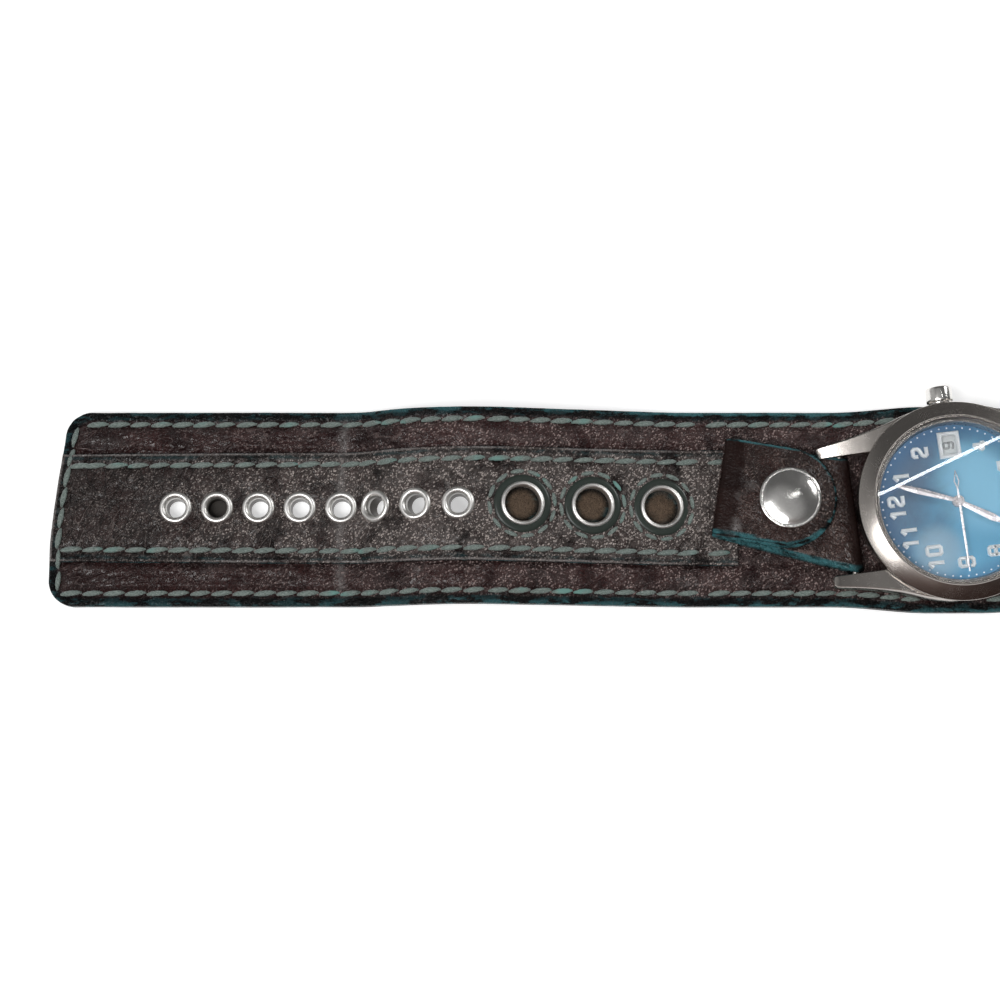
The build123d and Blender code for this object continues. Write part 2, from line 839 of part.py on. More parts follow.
bridge_top_z = bridge_z + bridge_thick
bridge = collar(plate_r * bridge_outer_share, bridge_inner_r, bridge_z, bridge_top_z)
bridge = bridge & block((-overrun, -overrun, -overrun), (-wide_gap, overrun, overrun))
bridge = bridge - rotor_at * disc(rotor_pin_r + turn_gap, -overrun, overrun)
post_ring_r = plate_r * bridge_post_ring_share
for turn in bridge_post_degs:
    post_x, post_y = post_ring_r * cos(radians(turn)), post_ring_r * sin(radians(turn))
    bridge = bridge + Pos(post_x, post_y, 0) * disc(bridge_post_r, bridge_z, plate_z)
save_head("train_bridge", solid_of(bridge))

coil_z = plate_z - coil_r
stator_foot_z = plate_z - stator_thick
arm_x = coil_length / 2 + leather_gap
stator_reach = arm_x + stator_arm_width
core = block(
    (coil_x - stator_reach, coil_y - coil_core_half_width, stator_foot_z - stator_thick),
    (coil_x + stator_reach, coil_y + coil_core_half_width, stator_foot_z),
)
winding = Pos(coil_x, coil_y, 0) * along_x(coil_r, -coil_length / 2, coil_length / 2, coil_z)
save_head("coil", solid_of(winding + core))
stator = rotor_at * block(
    (-stator_reach, -stator_bar_width / 2, stator_foot_z), (stator_reach, stator_bar_width / 2, plate_z)
)
for side in (1, -1):
    near, far = sorted((coil_x + side * arm_x, coil_x + side * stator_reach))
    stator = stator + block((near, rotor_y, stator_foot_z), (far, coil_y + coil_r, plate_z))
stator = stator - rotor_at * disc(stator_hole_r, -overrun, overrun)
save_head("stator", solid_of(stator))
rotor = disc(rotor_r, stator_foot_z - turn_gap, stator_foot_z - turn_gap + rotor_thick - leather_gap)
rotor = rotor + disc(rotor_pin_r, bridge_z + turn_gap, plate_top_z - leather_gap)
save_head("rotor", rotor_at * rotor)
date_top_z = date_ring_z + date_ring_thick
save_head("date_ring", collar(date_ring_d / 2, date_ring_bore / 2, date_ring_z, date_top_z))

# Hands, each with the tube or arbor that turns it
def clockwise(share):
    """Turn from 12 o'clock by a share of the full round."""
    return Rot(0, 0, -360 * share)


def pointer(length, width, height):
    """A tapering hand that points to 12 o'clock."""
    half = width / 2
    side = [(half / 2, 0), (half, length / 2), (half / 2, length)]
    points = side + [(-x, y) for x, y in reversed(side)]
    return plate(points, height, height + hand_thick)


hour_place = clockwise((hours_shown + minutes_shown / 60) / 12)
minute_place = clockwise(minutes_shown / 60)
second_place = clockwise(seconds_shown / 60)

hour_hand = pointer(hour_hand_length, hour_hand_width, hour_hand_z)
hour_hand = hour_hand + disc(hand_boss_r, hour_hand_z, hour_hand_z + hand_thick)
hour_hand = hour_hand + disc(hour_tube_r, hour_wheel_z, hour_hand_z)
hour_hand = hour_hand + disc(hour_wheel_r, hour_wheel_z, hour_wheel_z + wheel_thick)
hour_hand = hour_hand - disc(hour_tube_bore_r, -overrun, overrun)
save_head("hour_hand", hour_place * solid_of(hour_hand))

minute_hand = pointer(minute_hand_length, minute_hand_width, minute_hand_z)
minute_hand = minute_hand + disc(hand_boss_r, minute_hand_z, minute_hand_z + hand_thick)
minute_hand = minute_hand + disc(cannon_r, minute_wheel_z, minute_hand_z)
minute_hand = minute_hand + disc(minute_wheel_r, minute_wheel_z, minute_wheel_z + wheel_thick)
minute_hand = minute_hand - disc(cannon_bore_r, -overrun, overrun)
save_head("minute_hand", minute_place * solid_of(minute_hand))

second_hand = pointer(second_hand_length, second_hand_width, second_hand_z)
second_hand = second_hand + Rot(0, 0, 180) * pointer(second_hand_tail, second_tail_width, second_hand_z)
second_hand = second_hand + disc(hand_boss_r / 2, second_hand_z, second_hand_z + hand_thick)
second_hand = second_hand + disc(second_arbor_r, plate_z - stator_thick, second_hand_z)
save_head("second_hand", second_place * solid_of(second_hand))

# Crown, its tube, gasket and stem
crown_x = case_r + crown_gap_from_case
tube_end_x = case_r + crown_gap_from_case + tube_out
crown_tube = along_x(tube_r, bore_r - wide_gap / 2, tube_end_x, stem_z)
crown_tube = crown_tube - along_x(tube_bore_r, 0, overrun, stem_z)
save_head("crown_tube", crown_tube)
crown = along_x(crown_r, crown_x, crown_x + crown_length, stem_z)
crown = chamfer(crown.edges().filter_by(GeomType.CIRCLE), crown_chamfer)
socket_end_x = crown_x + crown_socket_depth
crown = crown - along_x(crown_socket_r, 0, socket_end_x, stem_z)
stem_end_x = crown_x + crown_length - crown_chamfer
crown = crown - along_x(stem_r + turn_gap / 2, 0, stem_end_x, stem_z)
save_head("crown", solid_of(crown))
save_head("winding_stem", along_x(stem_r, stem_inner_x, stem_end_x, stem_z))
gasket_x = crown_x + turn_gap
crown_gasket = along_x(crown_socket_r - turn_gap, gasket_x, gasket_x + crown_gasket_thick, stem_z)
crown_gasket = crown_gasket - along_x(tube_r + turn_gap, 0, overrun, stem_z)
save_head("crown_gasket", crown_gasket)

# Snap tabs. Each has a base that loops round its spring bar, and a flap that folds
# back over it from the fold. The flap has its own directions: X from fold to tip.
fold_place = Pos(flap_fold_x, flap_fold_y, 0) * Rot(0, 0, flap_skew_deg)
other_side = Pos(0, head_y, 0) * Rot(0, 0, 180) * Pos(0, -head_y, 0)
snap_place = fold_place * Pos(snap_reach, 0, 0)
flap_half = flap_width / 2
strip_level_z = pad_top_z + tab_ply


def spot(place, x, y):
    """Plan position of a point given in another frame."""
    point = (place * Pos(x, y, 0)).position
    return point.X, point.Y


def fold_roll(radius, low, high):
    """Half of the fold's roll, between two heights."""
    roll = Pos(0, 0, fold_split_z) * bar_along_y(radius, flap_width)
    return fold_place * (roll & block((-overrun, -overrun, low), (0, overrun, high)))


def tab_base():
    """The lower plies, the loop round the bar and the lower half of the fold."""
    corners = [
        spot(fold_place, 0, flap_half), spot(fold_place, 0, -flap_half),
        spot(head_place, -tab_bar_width / 2, bar_y), spot(head_place, tab_bar_width / 2, bar_y),
    ]
    shape = plate(corners, pad_top_z, tab_top_z)
    foot_x = -strip_end_x + wide_gap
    shape = shape - block((foot_x - overrun, -overrun, 0), (foot_x, overrun, strip_level_z))
    shape = shape + fold_roll(fold_split_z - strip_level_z, strip_level_z, fold_split_z)
    loop = Pos(0, bar_y, 0) * along_x(tab_loop_r, -tab_bar_width / 2, tab_bar_width / 2, bar_z)
    shape = shape + head_place * loop
    bore = Pos(0, bar_y, 0) * along_x(bar_r + turn_gap, -overrun, overrun, bar_z)
    shape = shape - head_place * bore
    shape = shape - snap_place * disc(post_head_r + turn_gap, 0, pad_top_z + post_head_thick)
    shape = shape - snap_place * disc(post_r + turn_gap, 0, overrun)
    shape = shape - snap_place * disc(stud_flange_r + turn_gap, strip_level_z, overrun)
    return solid_of(shape)


def tab_flap():
    """The flap with its round end and the upper half of the fold."""
    straight = flap_length - flap_half
    sheet = block((0, -flap_half, flap_z), (straight, flap_half, flap_top_z))
    sheet = sheet + Pos(straight, 0, 0) * disc(flap_half, flap_z, flap_top_z)
    shape = fold_place * sheet + fold_roll(flap_top_z - fold_split_z, fold_split_z, flap_top_z)
    return solid_of(shape - snap_place * disc(socket_r + turn_gap, 0, overrun))


socket_z = flap_top_z - socket_thick
snap_socket = disc(socket_r, socket_z, flap_top_z)
snap_socket = snap_socket - disc(socket_bore_r, 0, socket_z + socket_bore_depth)
cap_shoulder_z = flap_top_z + snap_cap_rim
snap_cap = dome(snap_cap_r, flap_top_z, cap_shoulder_z, snap_cap_rise - snap_cap_rim)
stud_top_z = socket_z + socket_bore_depth - stud_top_gap
snap_stud = disc(stud_flange_r, strip_level_z, strip_level_z + stud_flange_thick)
snap_stud = snap_stud + disc(stud_r, strip_level_z, stud_top_z)
snap_post = disc(post_head_r, pad_top_z, pad_top_z + post_head_thick)
snap_post = snap_post + disc(post_r, pad_top_z, strip_level_z)

base = tab_base()
flap = tab_flap()
save("long_tab_base", base)
save("short_tab_base", other_side * base)
save("long_flap", flap)
save("short_flap", other_side * flap)
save("long_snap_cap", snap_place * snap_cap)
save("short_snap_cap", other_side * snap_place * snap_cap)
save("long_snap_socket", snap_place * snap_socket)
save("short_snap_socket", other_side * snap_place * snap_socket)
save("snap_studs", snap_place * snap_stud, other_side * snap_place * snap_stud)
save("snap_posts", snap_place * snap_post, other_side * snap_place * snap_post)

# Buckle end of the cuff
lining_end_x = buckle_bar_x - lining_end_before_bar
keeper_half = keeper_width / 2
buckle_lining = block((crown_bend_x, -half_width, 0), (lining_end_x, half_width, lining_thick))
keeper_slot = block(
    (keeper_x - keeper_half - leather_gap, -overrun, -overrun),
    (keeper_x + keeper_half + leather_gap, overrun, overrun),
)
save("buckle_lining", *(buckle_lining - keeper_slot).solids())

bar_place = Pos(buckle_bar_x, 0, buckle_bar_z)
buckle_cover = block((crown_bend_x, -half_width, cover_z), (buckle_bar_x, half_width, pad_top_z))
under_ply = block((lining_end_x + leather_gap, -half_width, 0), (buckle_bar_x, half_width, cover_z))
buckle_cover = buckle_cover + under_ply + bar_place * bar_along_y(buckle_loop_r, cuff_width)
buckle_cover = buckle_cover - bar_place * bar_along_y(buckle_bar_r + leather_gap, 2 * cuff_width)
slot = block(
    (buckle_bar_x - buckle_slot_start, -buckle_slot_half_width, -overrun),
    (buckle_bar_x + overrun, buckle_slot_half_width, overrun),
)
save("buckle_cover", solid_of(buckle_cover - slot))
save("buckle_strip", block(
    (crown_bend_x, -strip_end_half, pad_top_z), (lining_end_x, strip_end_half, strip_top_z)
))
buckle_stitches = []
for x in marks_between(crown_bend_x + row_end_gap, lining_end_x - row_end_gap):
    for side in (1, -1):
        buckle_stitches.append(Pos(x, side * edge_row, pad_top_z) * long_stitch)
        buckle_stitches.append(Pos(x, side * (strip_end_half - strip_row_inset), strip_top_z) * long_stitch)
save("buckle_thread", *buckle_stitches)

keeper_top_z = strip_top_z + keeper_space
keeper = block(
    (keeper_x - keeper_half, -keeper_inner_half_width - keeper_ply, 0),
    (keeper_x + keeper_half, keeper_inner_half_width + keeper_ply, keeper_top_z + keeper_ply),
)
keeper = fillet(keeper.edges().filter_by(Axis.X).group_by(Axis.Z)[-1], keeper_corner_r)
keeper = keeper - block(
    (-overrun + keeper_x, -keeper_inner_half_width, keeper_ply),
    (overrun + keeper_x, keeper_inner_half_width, keeper_top_z),
)
save("keeper", solid_of(keeper))

# Buckle: bar, frame and tongue
frame_outer = buckle_inner_width / 2 + buckle_section
save("buckle_bar", bar_place * bar_along_y(buckle_bar_r, 2 * frame_outer))
frame_far_x = buckle_bar_x + buckle_inner_length + buckle_section
frame_half_z = buckle_section / 2
outer = block(
    (buckle_bar_x, -frame_outer, buckle_bar_z - frame_half_z),
    (frame_far_x, frame_outer, buckle_bar_z + frame_half_z),
)
outer = fillet(outer.edges().filter_by(Axis.Z).group_by(Axis.X)[-1], buckle_corner_r)
outer = fillet(outer.edges().group_by(Axis.Z)[-1] + outer.edges().group_by(Axis.Z)[0], buckle_round_r)
inner = block(
    (buckle_bar_x - overrun, -buckle_inner_width / 2, -overrun),
    (frame_far_x - buckle_section, buckle_inner_width / 2, overrun),
)
frame = outer - inner
eye = Pos(buckle_bar_x, 0, buckle_bar_z) * bar_along_y(buckle_eye_r, 2 * frame_outer) - inner
frame = frame + eye - bar_place * bar_along_y(buckle_bar_r + turn_gap, 2 * cuff_width)
save("buckle_frame", solid_of(frame))

tongue_z = buckle_bar_z + frame_half_z + turn_gap
tongue_half = tongue_width / 2
arm = block(
    (buckle_bar_x, -tongue_half, tongue_z),
    (frame_far_x + tongue_overhang, tongue_half, tongue_z + tongue_thick),
)
tip_edges = arm.edges().filter_by(Axis.Z).group_by(Axis.X)[-1]
arm = fillet(tip_edges, tongue_half - turn_gap)
tongue = arm + bar_place * bar_along_y(tongue_eye_r, tongue_width)
tongue = tongue - bar_place * bar_along_y(buckle_bar_r + turn_gap, 2 * cuff_width)
save("buckle_tongue", solid_of(tongue))

fold_line = [round(v, 3) for v in spot(fold_place, strip_level_z - fold_split_z, 0)]
print("tail joint", [round(v, 3) for v in on_path(tail_joint, 0).origin])
print("tail joint heading", round(degrees(station(tail_joint)[2]), 3))
print("fold axis", fold_line, round(fold_split_z, 3))
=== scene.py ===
import bpy
import bmesh
import json
from math import atan2, cos, exp, hypot, pi, radians, sin, sqrt
from mathutils import Matrix, Vector, noise


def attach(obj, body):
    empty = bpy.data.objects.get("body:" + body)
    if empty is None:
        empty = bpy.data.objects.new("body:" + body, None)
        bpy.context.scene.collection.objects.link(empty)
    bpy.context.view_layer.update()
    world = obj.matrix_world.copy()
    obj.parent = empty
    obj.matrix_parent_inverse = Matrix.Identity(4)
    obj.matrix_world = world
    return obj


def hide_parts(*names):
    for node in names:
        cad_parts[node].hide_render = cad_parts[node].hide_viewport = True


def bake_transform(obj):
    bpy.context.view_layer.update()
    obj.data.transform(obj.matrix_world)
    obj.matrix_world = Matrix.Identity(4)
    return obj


# A leather cuff watch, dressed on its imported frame. Sizes are in millimetres, and every
# mesh is brought to metres when it is made.
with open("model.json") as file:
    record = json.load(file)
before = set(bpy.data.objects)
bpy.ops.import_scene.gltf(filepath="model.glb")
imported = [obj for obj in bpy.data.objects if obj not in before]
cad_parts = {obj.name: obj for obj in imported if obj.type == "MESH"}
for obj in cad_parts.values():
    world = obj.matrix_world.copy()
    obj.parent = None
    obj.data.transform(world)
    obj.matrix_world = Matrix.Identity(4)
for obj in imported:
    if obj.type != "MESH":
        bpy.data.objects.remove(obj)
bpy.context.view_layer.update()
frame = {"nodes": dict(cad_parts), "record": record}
nodes = frame["nodes"]
MM = 0.001

# Leather sizes, as in the part's source
NEUTRAL_Z = 2.05
LINING_TOP = 1.4
COVER_TOP = 2.8
STRIP_TOP = 4.1
CUFF_HALF = 19.85
HEAD_FLARE = 1.5
TAIL_X = -182.3
CROWN_BEND_X = 51.0
STRIP_END_X = 43.6
TAIL_SLANT = 3.22
TAIL_CORNER = 5.2
END_ROW = 2.0
EDGE_ROW = 2.6
STRIP_ROW = 2.5
PITCH = 4.3
STITCH = 4.25
RING_ROW = 6.5
STRAP_PATH = [
    (60.2404, 0.0), (4.8625, radians(28)), (2.0, 0.0),
    (25.899, radians(-38)), (29.9, 0.0), (10.1142, radians(10)),
]
PATH_END = sum(length for length, turn in STRAP_PATH)
MID_PAD = PATH_END + CROWN_BEND_X
SMALL_STATIONS = [83.886 - n * 8.35 for n in range(8)]
LARGE_STATIONS = [96.286 + n * 14.3 for n in range(3)]
TAIL_JOINT = 89.086
STRAP_SPLIT = 117.7
CREASE_AT = 58.9
LINING_END_X = 68.6
KEEPER_X = 63.7

HEAD = Matrix.Translation((0, 0.6, 0)) @ Matrix.Rotation(radians(96.5), 4, "Z")
FOLD = Matrix.Translation((-46.2, 3.7, 0)) @ Matrix.Rotation(radians(-9.3), 4, "Z")
OTHER_SIDE = (
    Matrix.Translation((0, 0.6, 0)) @ Matrix.Rotation(pi, 4, "Z")
    @ Matrix.Translation((0, -0.6, 0))
)
SNAP_REACH = 13.2


# ---- node helpers -------------------------------------------------------------------

class Workings:
    """The nodes of one tree, with plain words for what they work out."""

    def __init__(self, tree):
        self.tree = tree

    def feed(self, socket, value):
        """Link a socket, or set its own value."""
        if isinstance(value, bpy.types.NodeSocket):
            self.tree.links.new(value, socket)
        elif isinstance(value, tuple) and len(value) == 3 and socket.type == "RGBA":
            socket.default_value = (*value, 1.0)
        else:
            socket.default_value = value

    def put(self, kind, settings=None, **inputs):
        """A new node with its settings and inputs."""
        made = self.tree.nodes.new(kind)
        for key, value in (settings or {}).items():
            setattr(made, key, value)
        for key, value in inputs.items():
            self.feed(made.inputs[key.replace("_", " ")], value)
        return made

    def calc(self, operation, *values):
        """One sum of arithmetic."""
        made = self.put("ShaderNodeMath", {"operation": operation})
        for socket, value in zip(made.inputs, values):
            self.feed(socket, value)
        return made.outputs[0]

    def times(self, a, b):
        return self.calc("MULTIPLY", a, b)

    def plus(self, a, b):
        return self.calc("ADD", a, b)

    def minus(self, a, b):
        return self.calc("SUBTRACT", a, b)

    def most(self, a, b):
        return self.calc("MAXIMUM", a, b)

    def square(self, a):
        return self.calc("POWER", a, 2.0)

    def mix(self, share, first, second):
        """Mix two colours."""
        made = self.put("ShaderNodeMix", {"data_type": "RGBA"})
        for index, value in ((0, share), (6, first), (7, second)):
            self.feed(made.inputs[index], value)
        return made.outputs[2]

    def spread(self, value, low, high, to_low=0.0, to_high=1.0):
        """Stretch a value between two levels, smoothly."""
        made = self.put("ShaderNodeMapRange", {"interpolation_type": "SMOOTHSTEP"})
        for index, given in enumerate((value, low, high, to_low, to_high)):
            self.feed(made.inputs[index], given)
        return made.outputs[0]

    def cloud(self, where, scale, detail=3.0, roughness=0.55, distortion=0.0):
        """Soft noise at a place."""
        return self.put(
            "ShaderNodeTexNoise", None, Vector=where, Scale=scale, Detail=detail,
            Roughness=roughness, Distortion=distortion,
        ).outputs[0]

    def cells(self, where, scale, feature="F1"):
        """A pattern of small cells."""
        return self.put("ShaderNodeTexVoronoi", {"feature": feature}, Vector=where, Scale=scale)

    def stretched(self, where, scale, lean=0.0):
        """A place turned, and stretched along its axes."""
        return self.put(
            "ShaderNodeMapping", None, Vector=where, Scale=scale, Rotation=(0.0, 0.0, lean)
        ).outputs[0]

    def stored(self, name):
        """A value stored on the mesh."""
        return self.put("ShaderNodeAttribute", {"attribute_name": name}).outputs["Fac"]

    def relief(self, height, strength, depth):
        """Bump from a height, with its depth in metres."""
        return self.put(
            "ShaderNodeBump", None, Strength=strength, Distance=depth, Height=height
        ).outputs[0]

    def on_mesh(self):
        """Object coordinates in millimetres."""
        where = self.put("ShaderNodeTexCoord").outputs["Object"]
        scaled = {"operation": "SCALE"}
        return self.put("ShaderNodeVectorMath", scaled, Vector=where, Scale=1000.0).outputs[0]

    def on_hide(self):
        """Place on the hide: along and across it, in millimetres."""
        return self.put("ShaderNodeUVMap").outputs[0]

    def parts(self, where):
        """The along and across parts of a place."""
        return self.put("ShaderNodeSeparateXYZ", None, Vector=where).outputs[:2]


def start_finish(name):
    """A new material, its workings and its shader."""
    finish = bpy.data.materials.new(name)
    finish.use_nodes = True
    tree = finish.node_tree
    return finish, Workings(tree), tree.nodes["Principled BSDF"]


# ---- leather, thread and metal ------------------------------------------------------

TEAL = (0.042, 0.135, 0.150)
TEAL_WORN = (0.0030, 0.0044, 0.0048)


def leather_finish(name, body, deep, scuff_and_highlight_colour, pebble, grain_depth, scuff_and_highlight_share=0.10, lean=0.0, webbed=0.0):
    """Pebbled full-grain leather with creases, and painted edges that are worn to black.
    Pale specks on the pebbles and thin crease lines are painted highlights, partly scuffs, with a
    painted sheen in patches; smooth folds and the tab's base past the spring bar carry painted
    shade.
    Creases run at an angle of lean degrees, and webbed is the share of dark cracks."""
    finish, work, shader = start_finish(name)
    where = work.on_hide()
    rubbed = work.stored("rubbed")
    rough = work.minus(1.0, rubbed)
    along = work.parts(where)[0]
    uneven = work.put("ShaderNodeVectorMath", {"operation": "ADD"}, Vector=where)
    work.feed(uneven.inputs[1], work.times(work.cloud(where, 0.9, 1.0), 1.2))
    uneven = uneven.outputs[0]
    grain = work.cells(uneven, pebble, "DISTANCE_TO_EDGE").outputs[0]
    grain = work.spread(grain, 0.0, 0.30)
    patch = work.cloud(where, 0.11, 4.0, 0.6)
    leaning = work.stretched(where, (1.0, 1.0, 1.0), radians(lean))
    fold = work.cloud(work.stretched(leaning, (0.12, 0.42, 1.0)), 0.8, 1.0, 0.4, 0.3)
    fold = work.calc("ABSOLUTE", work.minus(fold, 0.5))
    line = work.spread(fold, 0.0, 0.018, 1.0, 0.0)
    side = work.spread(fold, 0.0, 0.09, 1.0, 0.0)
    web = work.cells(work.stretched(leaning, (0.55, 1.0, 1.0)), 0.50, "DISTANCE_TO_EDGE").outputs[0]
    web = work.times(work.spread(web, 0.0, 0.08, 1.0, 0.0), webbed)
    place = work.spread(work.cloud(where, 0.20, 3.0, 0.6), 0.46, 0.60)
    tone = work.mix(work.spread(patch, 0.36, 0.66), deep, body)
    tone = work.mix(work.times(work.minus(1.0, grain), 0.75), tone, deep)
    tone = work.mix(web, tone, (0.004, 0.003, 0.003))
    # Painted highlights, partly pale scuffs: bright specks on the tops of some pebbles, gathered in
    # patches further along the strap, and thin bright crease lines.
    beads = work.cells(uneven, pebble * 1.15)
    bead = work.spread(beads.outputs["Distance"], 0.56, 0.24)
    dome = work.spread(work.square(beads.outputs["Distance"]), 0.36, 0.0)
    chance = work.put("ShaderNodeSeparateColor", None, Color=beads.outputs["Color"])
    lit = work.spread(chance.outputs[0], 0.22, 0.85, 0.0, 1.0)
    scuff_and_highlight_patches = work.spread(work.cloud(where, 0.17, 3.0, 0.65), 0.34, 0.56)
    scuff_and_highlight_patches = work.times(scuff_and_highlight_patches, work.spread(along, 8.0, 90.0, 0.30, 1.75))
    scuff_and_highlight_specks = work.times(work.times(bead, lit), work.times(scuff_and_highlight_patches, scuff_and_highlight_share))
    scuff_and_highlight_specks = work.most(scuff_and_highlight_specks, work.times(work.times(line, place), 0.26))
    scuff_and_highlight_specks = work.calc("MINIMUM", work.times(scuff_and_highlight_specks, rough), 1.0)
    # A faint painted sheen over the same patches.
    tone = work.mix(work.times(work.times(scuff_and_highlight_patches, rough), 0.06 * scuff_and_highlight_share), tone, scuff_and_highlight_colour)
    tone = work.mix(scuff_and_highlight_specks, tone, scuff_and_highlight_colour)
    # Painted shade: the tab's smooth fold and its base past the spring bar are darkened towards the
    # deep tone.
    tone = work.mix(work.times(rubbed, 0.8), tone, deep)
    # Pale wear on creases, and the painted highlight along the strip's rim.
    scuffs = work.spread(work.cloud(where, 1.4, 4.0, 0.7), 0.30, 0.56)
    wear = work.times(work.stored("wear"), scuffs)
    tone = work.mix(wear, tone, (0.20, 0.185, 0.18))
    suede = work.stored("suede")
    nap = work.cloud(where, 3.0, 4.0, 0.7)
    nap = work.mix(nap, (0.035, 0.022, 0.013), (0.16, 0.11, 0.075))
    tone = work.mix(suede, tone, nap)
    paint = work.stored("paint")
    dye = work.stored("dye")
    worn = work.cloud(work.stretched(where, (0.35, 1.0, 1.0)), 0.55, 5.0, 0.65)
    worn = work.spread(worn, 0.40, 0.56)
    worn = work.most(work.minus(worn, work.minus(0.85, dye)), 0.0)
    edge = work.mix(work.calc("MINIMUM", worn, 1.0), TEAL_WORN, TEAL)
    # Edge paint, teal worn to black; the same black also paints the shadow inside the large eyelets
    # and on the tab's edges past the spring bar.
    tone = work.mix(paint, tone, edge)
    work.feed(shader.inputs["Base Color"], tone)
    shine = work.spread(work.cloud(where, 1.3, 4.0, 0.6), 0.3, 0.7, 0.22, 0.36)
    work.feed(shader.inputs["Roughness"], work.most(shine, work.times(suede, 0.9)))
    dry = work.most(work.times(rubbed, 0.22), work.times(paint, 0.20))
    work.feed(shader.inputs["Specular IOR Level"], work.minus(0.30, dry))
    height = work.times(dome, 0.9)
    height = work.plus(height, work.times(side, work.times(place, 1.2)))
    height = work.minus(height, work.times(web, 0.8))
    height = work.plus(height, work.cloud(where, 0.7, 2.0, 0.5))
    height = work.times(height, rough)
    work.feed(shader.inputs["Normal"], work.relief(height, 1.0, grain_depth * MM))
    return finish


def thread_finish(name, light, dark, fresh):
    """Waxed twisted thread, pale where it is worn."""
    finish, work, shader = start_finish(name)
    where = work.on_mesh()
    fibre = work.cloud(work.stretched(where, (1.0, 4.0, 4.0)), 2.2, 4.0, 0.7)
    tone = work.mix(work.spread(fibre, 0.35, 0.68), dark, light)
    tone = work.mix(work.spread(work.cloud(where, 0.11, 2.0), 0.56, 0.70), tone, fresh)
    work.feed(shader.inputs["Base Color"], tone)
    shader.inputs["Roughness"].default_value = 0.62
    shader.inputs["Sheen Weight"].default_value = 0.3
    work.feed(shader.inputs["Normal"], work.relief(fibre, 0.7, 0.12 * MM))
    return finish


def metal_finish(name, colour, smooth, rough, scratch, along=(1.0, 1.0, 1.0), metallic=1.0):
    """Metal with fine scratches and patches of duller polish."""
    finish, work, shader = start_finish(name)
    where = work.on_mesh()
    patch = work.cloud(where, 0.35, 4.0, 0.6)
    lines = work.cloud(work.stretched(where, along), 5.0, 5.0, 0.75)
    haze = work.cloud(where, 2.1, 5.0, 0.7, 1.2)
    tone = work.mix(work.spread(haze, 0.3, 0.75), colour, tuple(v * 0.90 for v in colour))
    work.feed(shader.inputs["Base Color"], tone)
    shader.inputs["Metallic"].default_value = metallic
    dull = work.times(work.spread(patch, 0.35, 0.7), work.spread(lines, 0.35, 0.65))
    work.feed(shader.inputs["Roughness"], work.spread(dull, 0.0, 1.0, smooth, rough))
    work.feed(shader.inputs["Normal"], work.relief(lines, scratch, 0.02 * MM))
    return finish


def plain_finish(name, dark, light, rough, scale, depth, metallic=0.0):
    """Moulded, printed or lacquered stuff with a fine grain."""
    finish, work, shader = start_finish(name)
    where = work.on_mesh()
    grain = work.cloud(where, scale, 4.0, 0.6)
    work.feed(shader.inputs["Base Color"], work.mix(work.spread(grain, 0.3, 0.7), dark, light))
    work.feed(shader.inputs["Roughness"], work.spread(grain, 0.3, 0.7, rough * 0.85, rough * 1.15))
    shader.inputs["Metallic"].default_value = metallic
    work.feed(shader.inputs["Normal"], work.relief(grain, 0.4, depth * MM))
    return finish


def dial_finish():
    """Blue lacquer, bright in the middle right, with age and scratches."""
    finish, work, shader = start_finish("dial_lacquer")
    where = work.on_mesh()
    x, y = work.parts(where)
    slope = work.plus(work.times(x, 0.045), work.times(y, -0.018))
    cloudy = work.cloud(where, 0.16, 5.0, 0.6, 0.6)
    slope = work.plus(slope, work.times(work.minus(cloudy, 0.5), 0.7))
    tone = work.mix(work.spread(slope, -0.55, 0.25), (0.105, 0.165, 0.245), (0.145, 0.400, 0.590))

    def around(centre_x, centre_y, reach, colour, amount, under):
        """A soft round patch of another colour."""
        off_x = work.calc("DIVIDE", work.minus(x, centre_x), reach)
        off_y = work.calc("DIVIDE", work.minus(y, centre_y), reach)
        gap = work.plus(work.square(off_x), work.square(off_y))
        return work.mix(work.spread(gap, 1.0, 0.0, 0.0, amount), under, colour)

    tone = around(5.5, 4.5, 12.0, (0.30, 0.60, 0.78), 0.85, tone)
    far = work.calc("SQRT", work.plus(work.square(x), work.square(y)))
    tone = work.mix(work.spread(far, 11.0, 15.6, 0.0, 0.60), tone, (0.045, 0.150, 0.300))
    tone = around(-4.0, -9.5, 6.5, (0.36, 0.50, 0.60), 0.75, tone)
    grit = work.cloud(where, 7.0, 4.0, 0.8)
    tone = work.mix(work.spread(grit, 0.58, 0.75, 0.0, 0.35), tone, (0.30, 0.48, 0.58))
    scratch = work.cloud(work.stretched(where, (2.4, 0.5, 1.0)), 2.6, 5.0, 0.8, 0.6)
    low_right = work.spread(work.minus(work.times(y, -1.0), 3.0), 0.0, 8.0)
    scratched = work.times(work.spread(scratch, 0.62, 0.68), low_right)
    tone = work.mix(scratched, tone, (0.36, 0.55, 0.66))
    work.feed(shader.inputs["Base Color"], tone)
    shader.inputs["Metallic"].default_value = 0.25
    work.feed(shader.inputs["Roughness"], work.spread(grit, 0.3, 0.7, 0.34, 0.52))
    work.feed(shader.inputs["Normal"], work.relief(grit, 0.3, 0.03 * MM))
    return finish


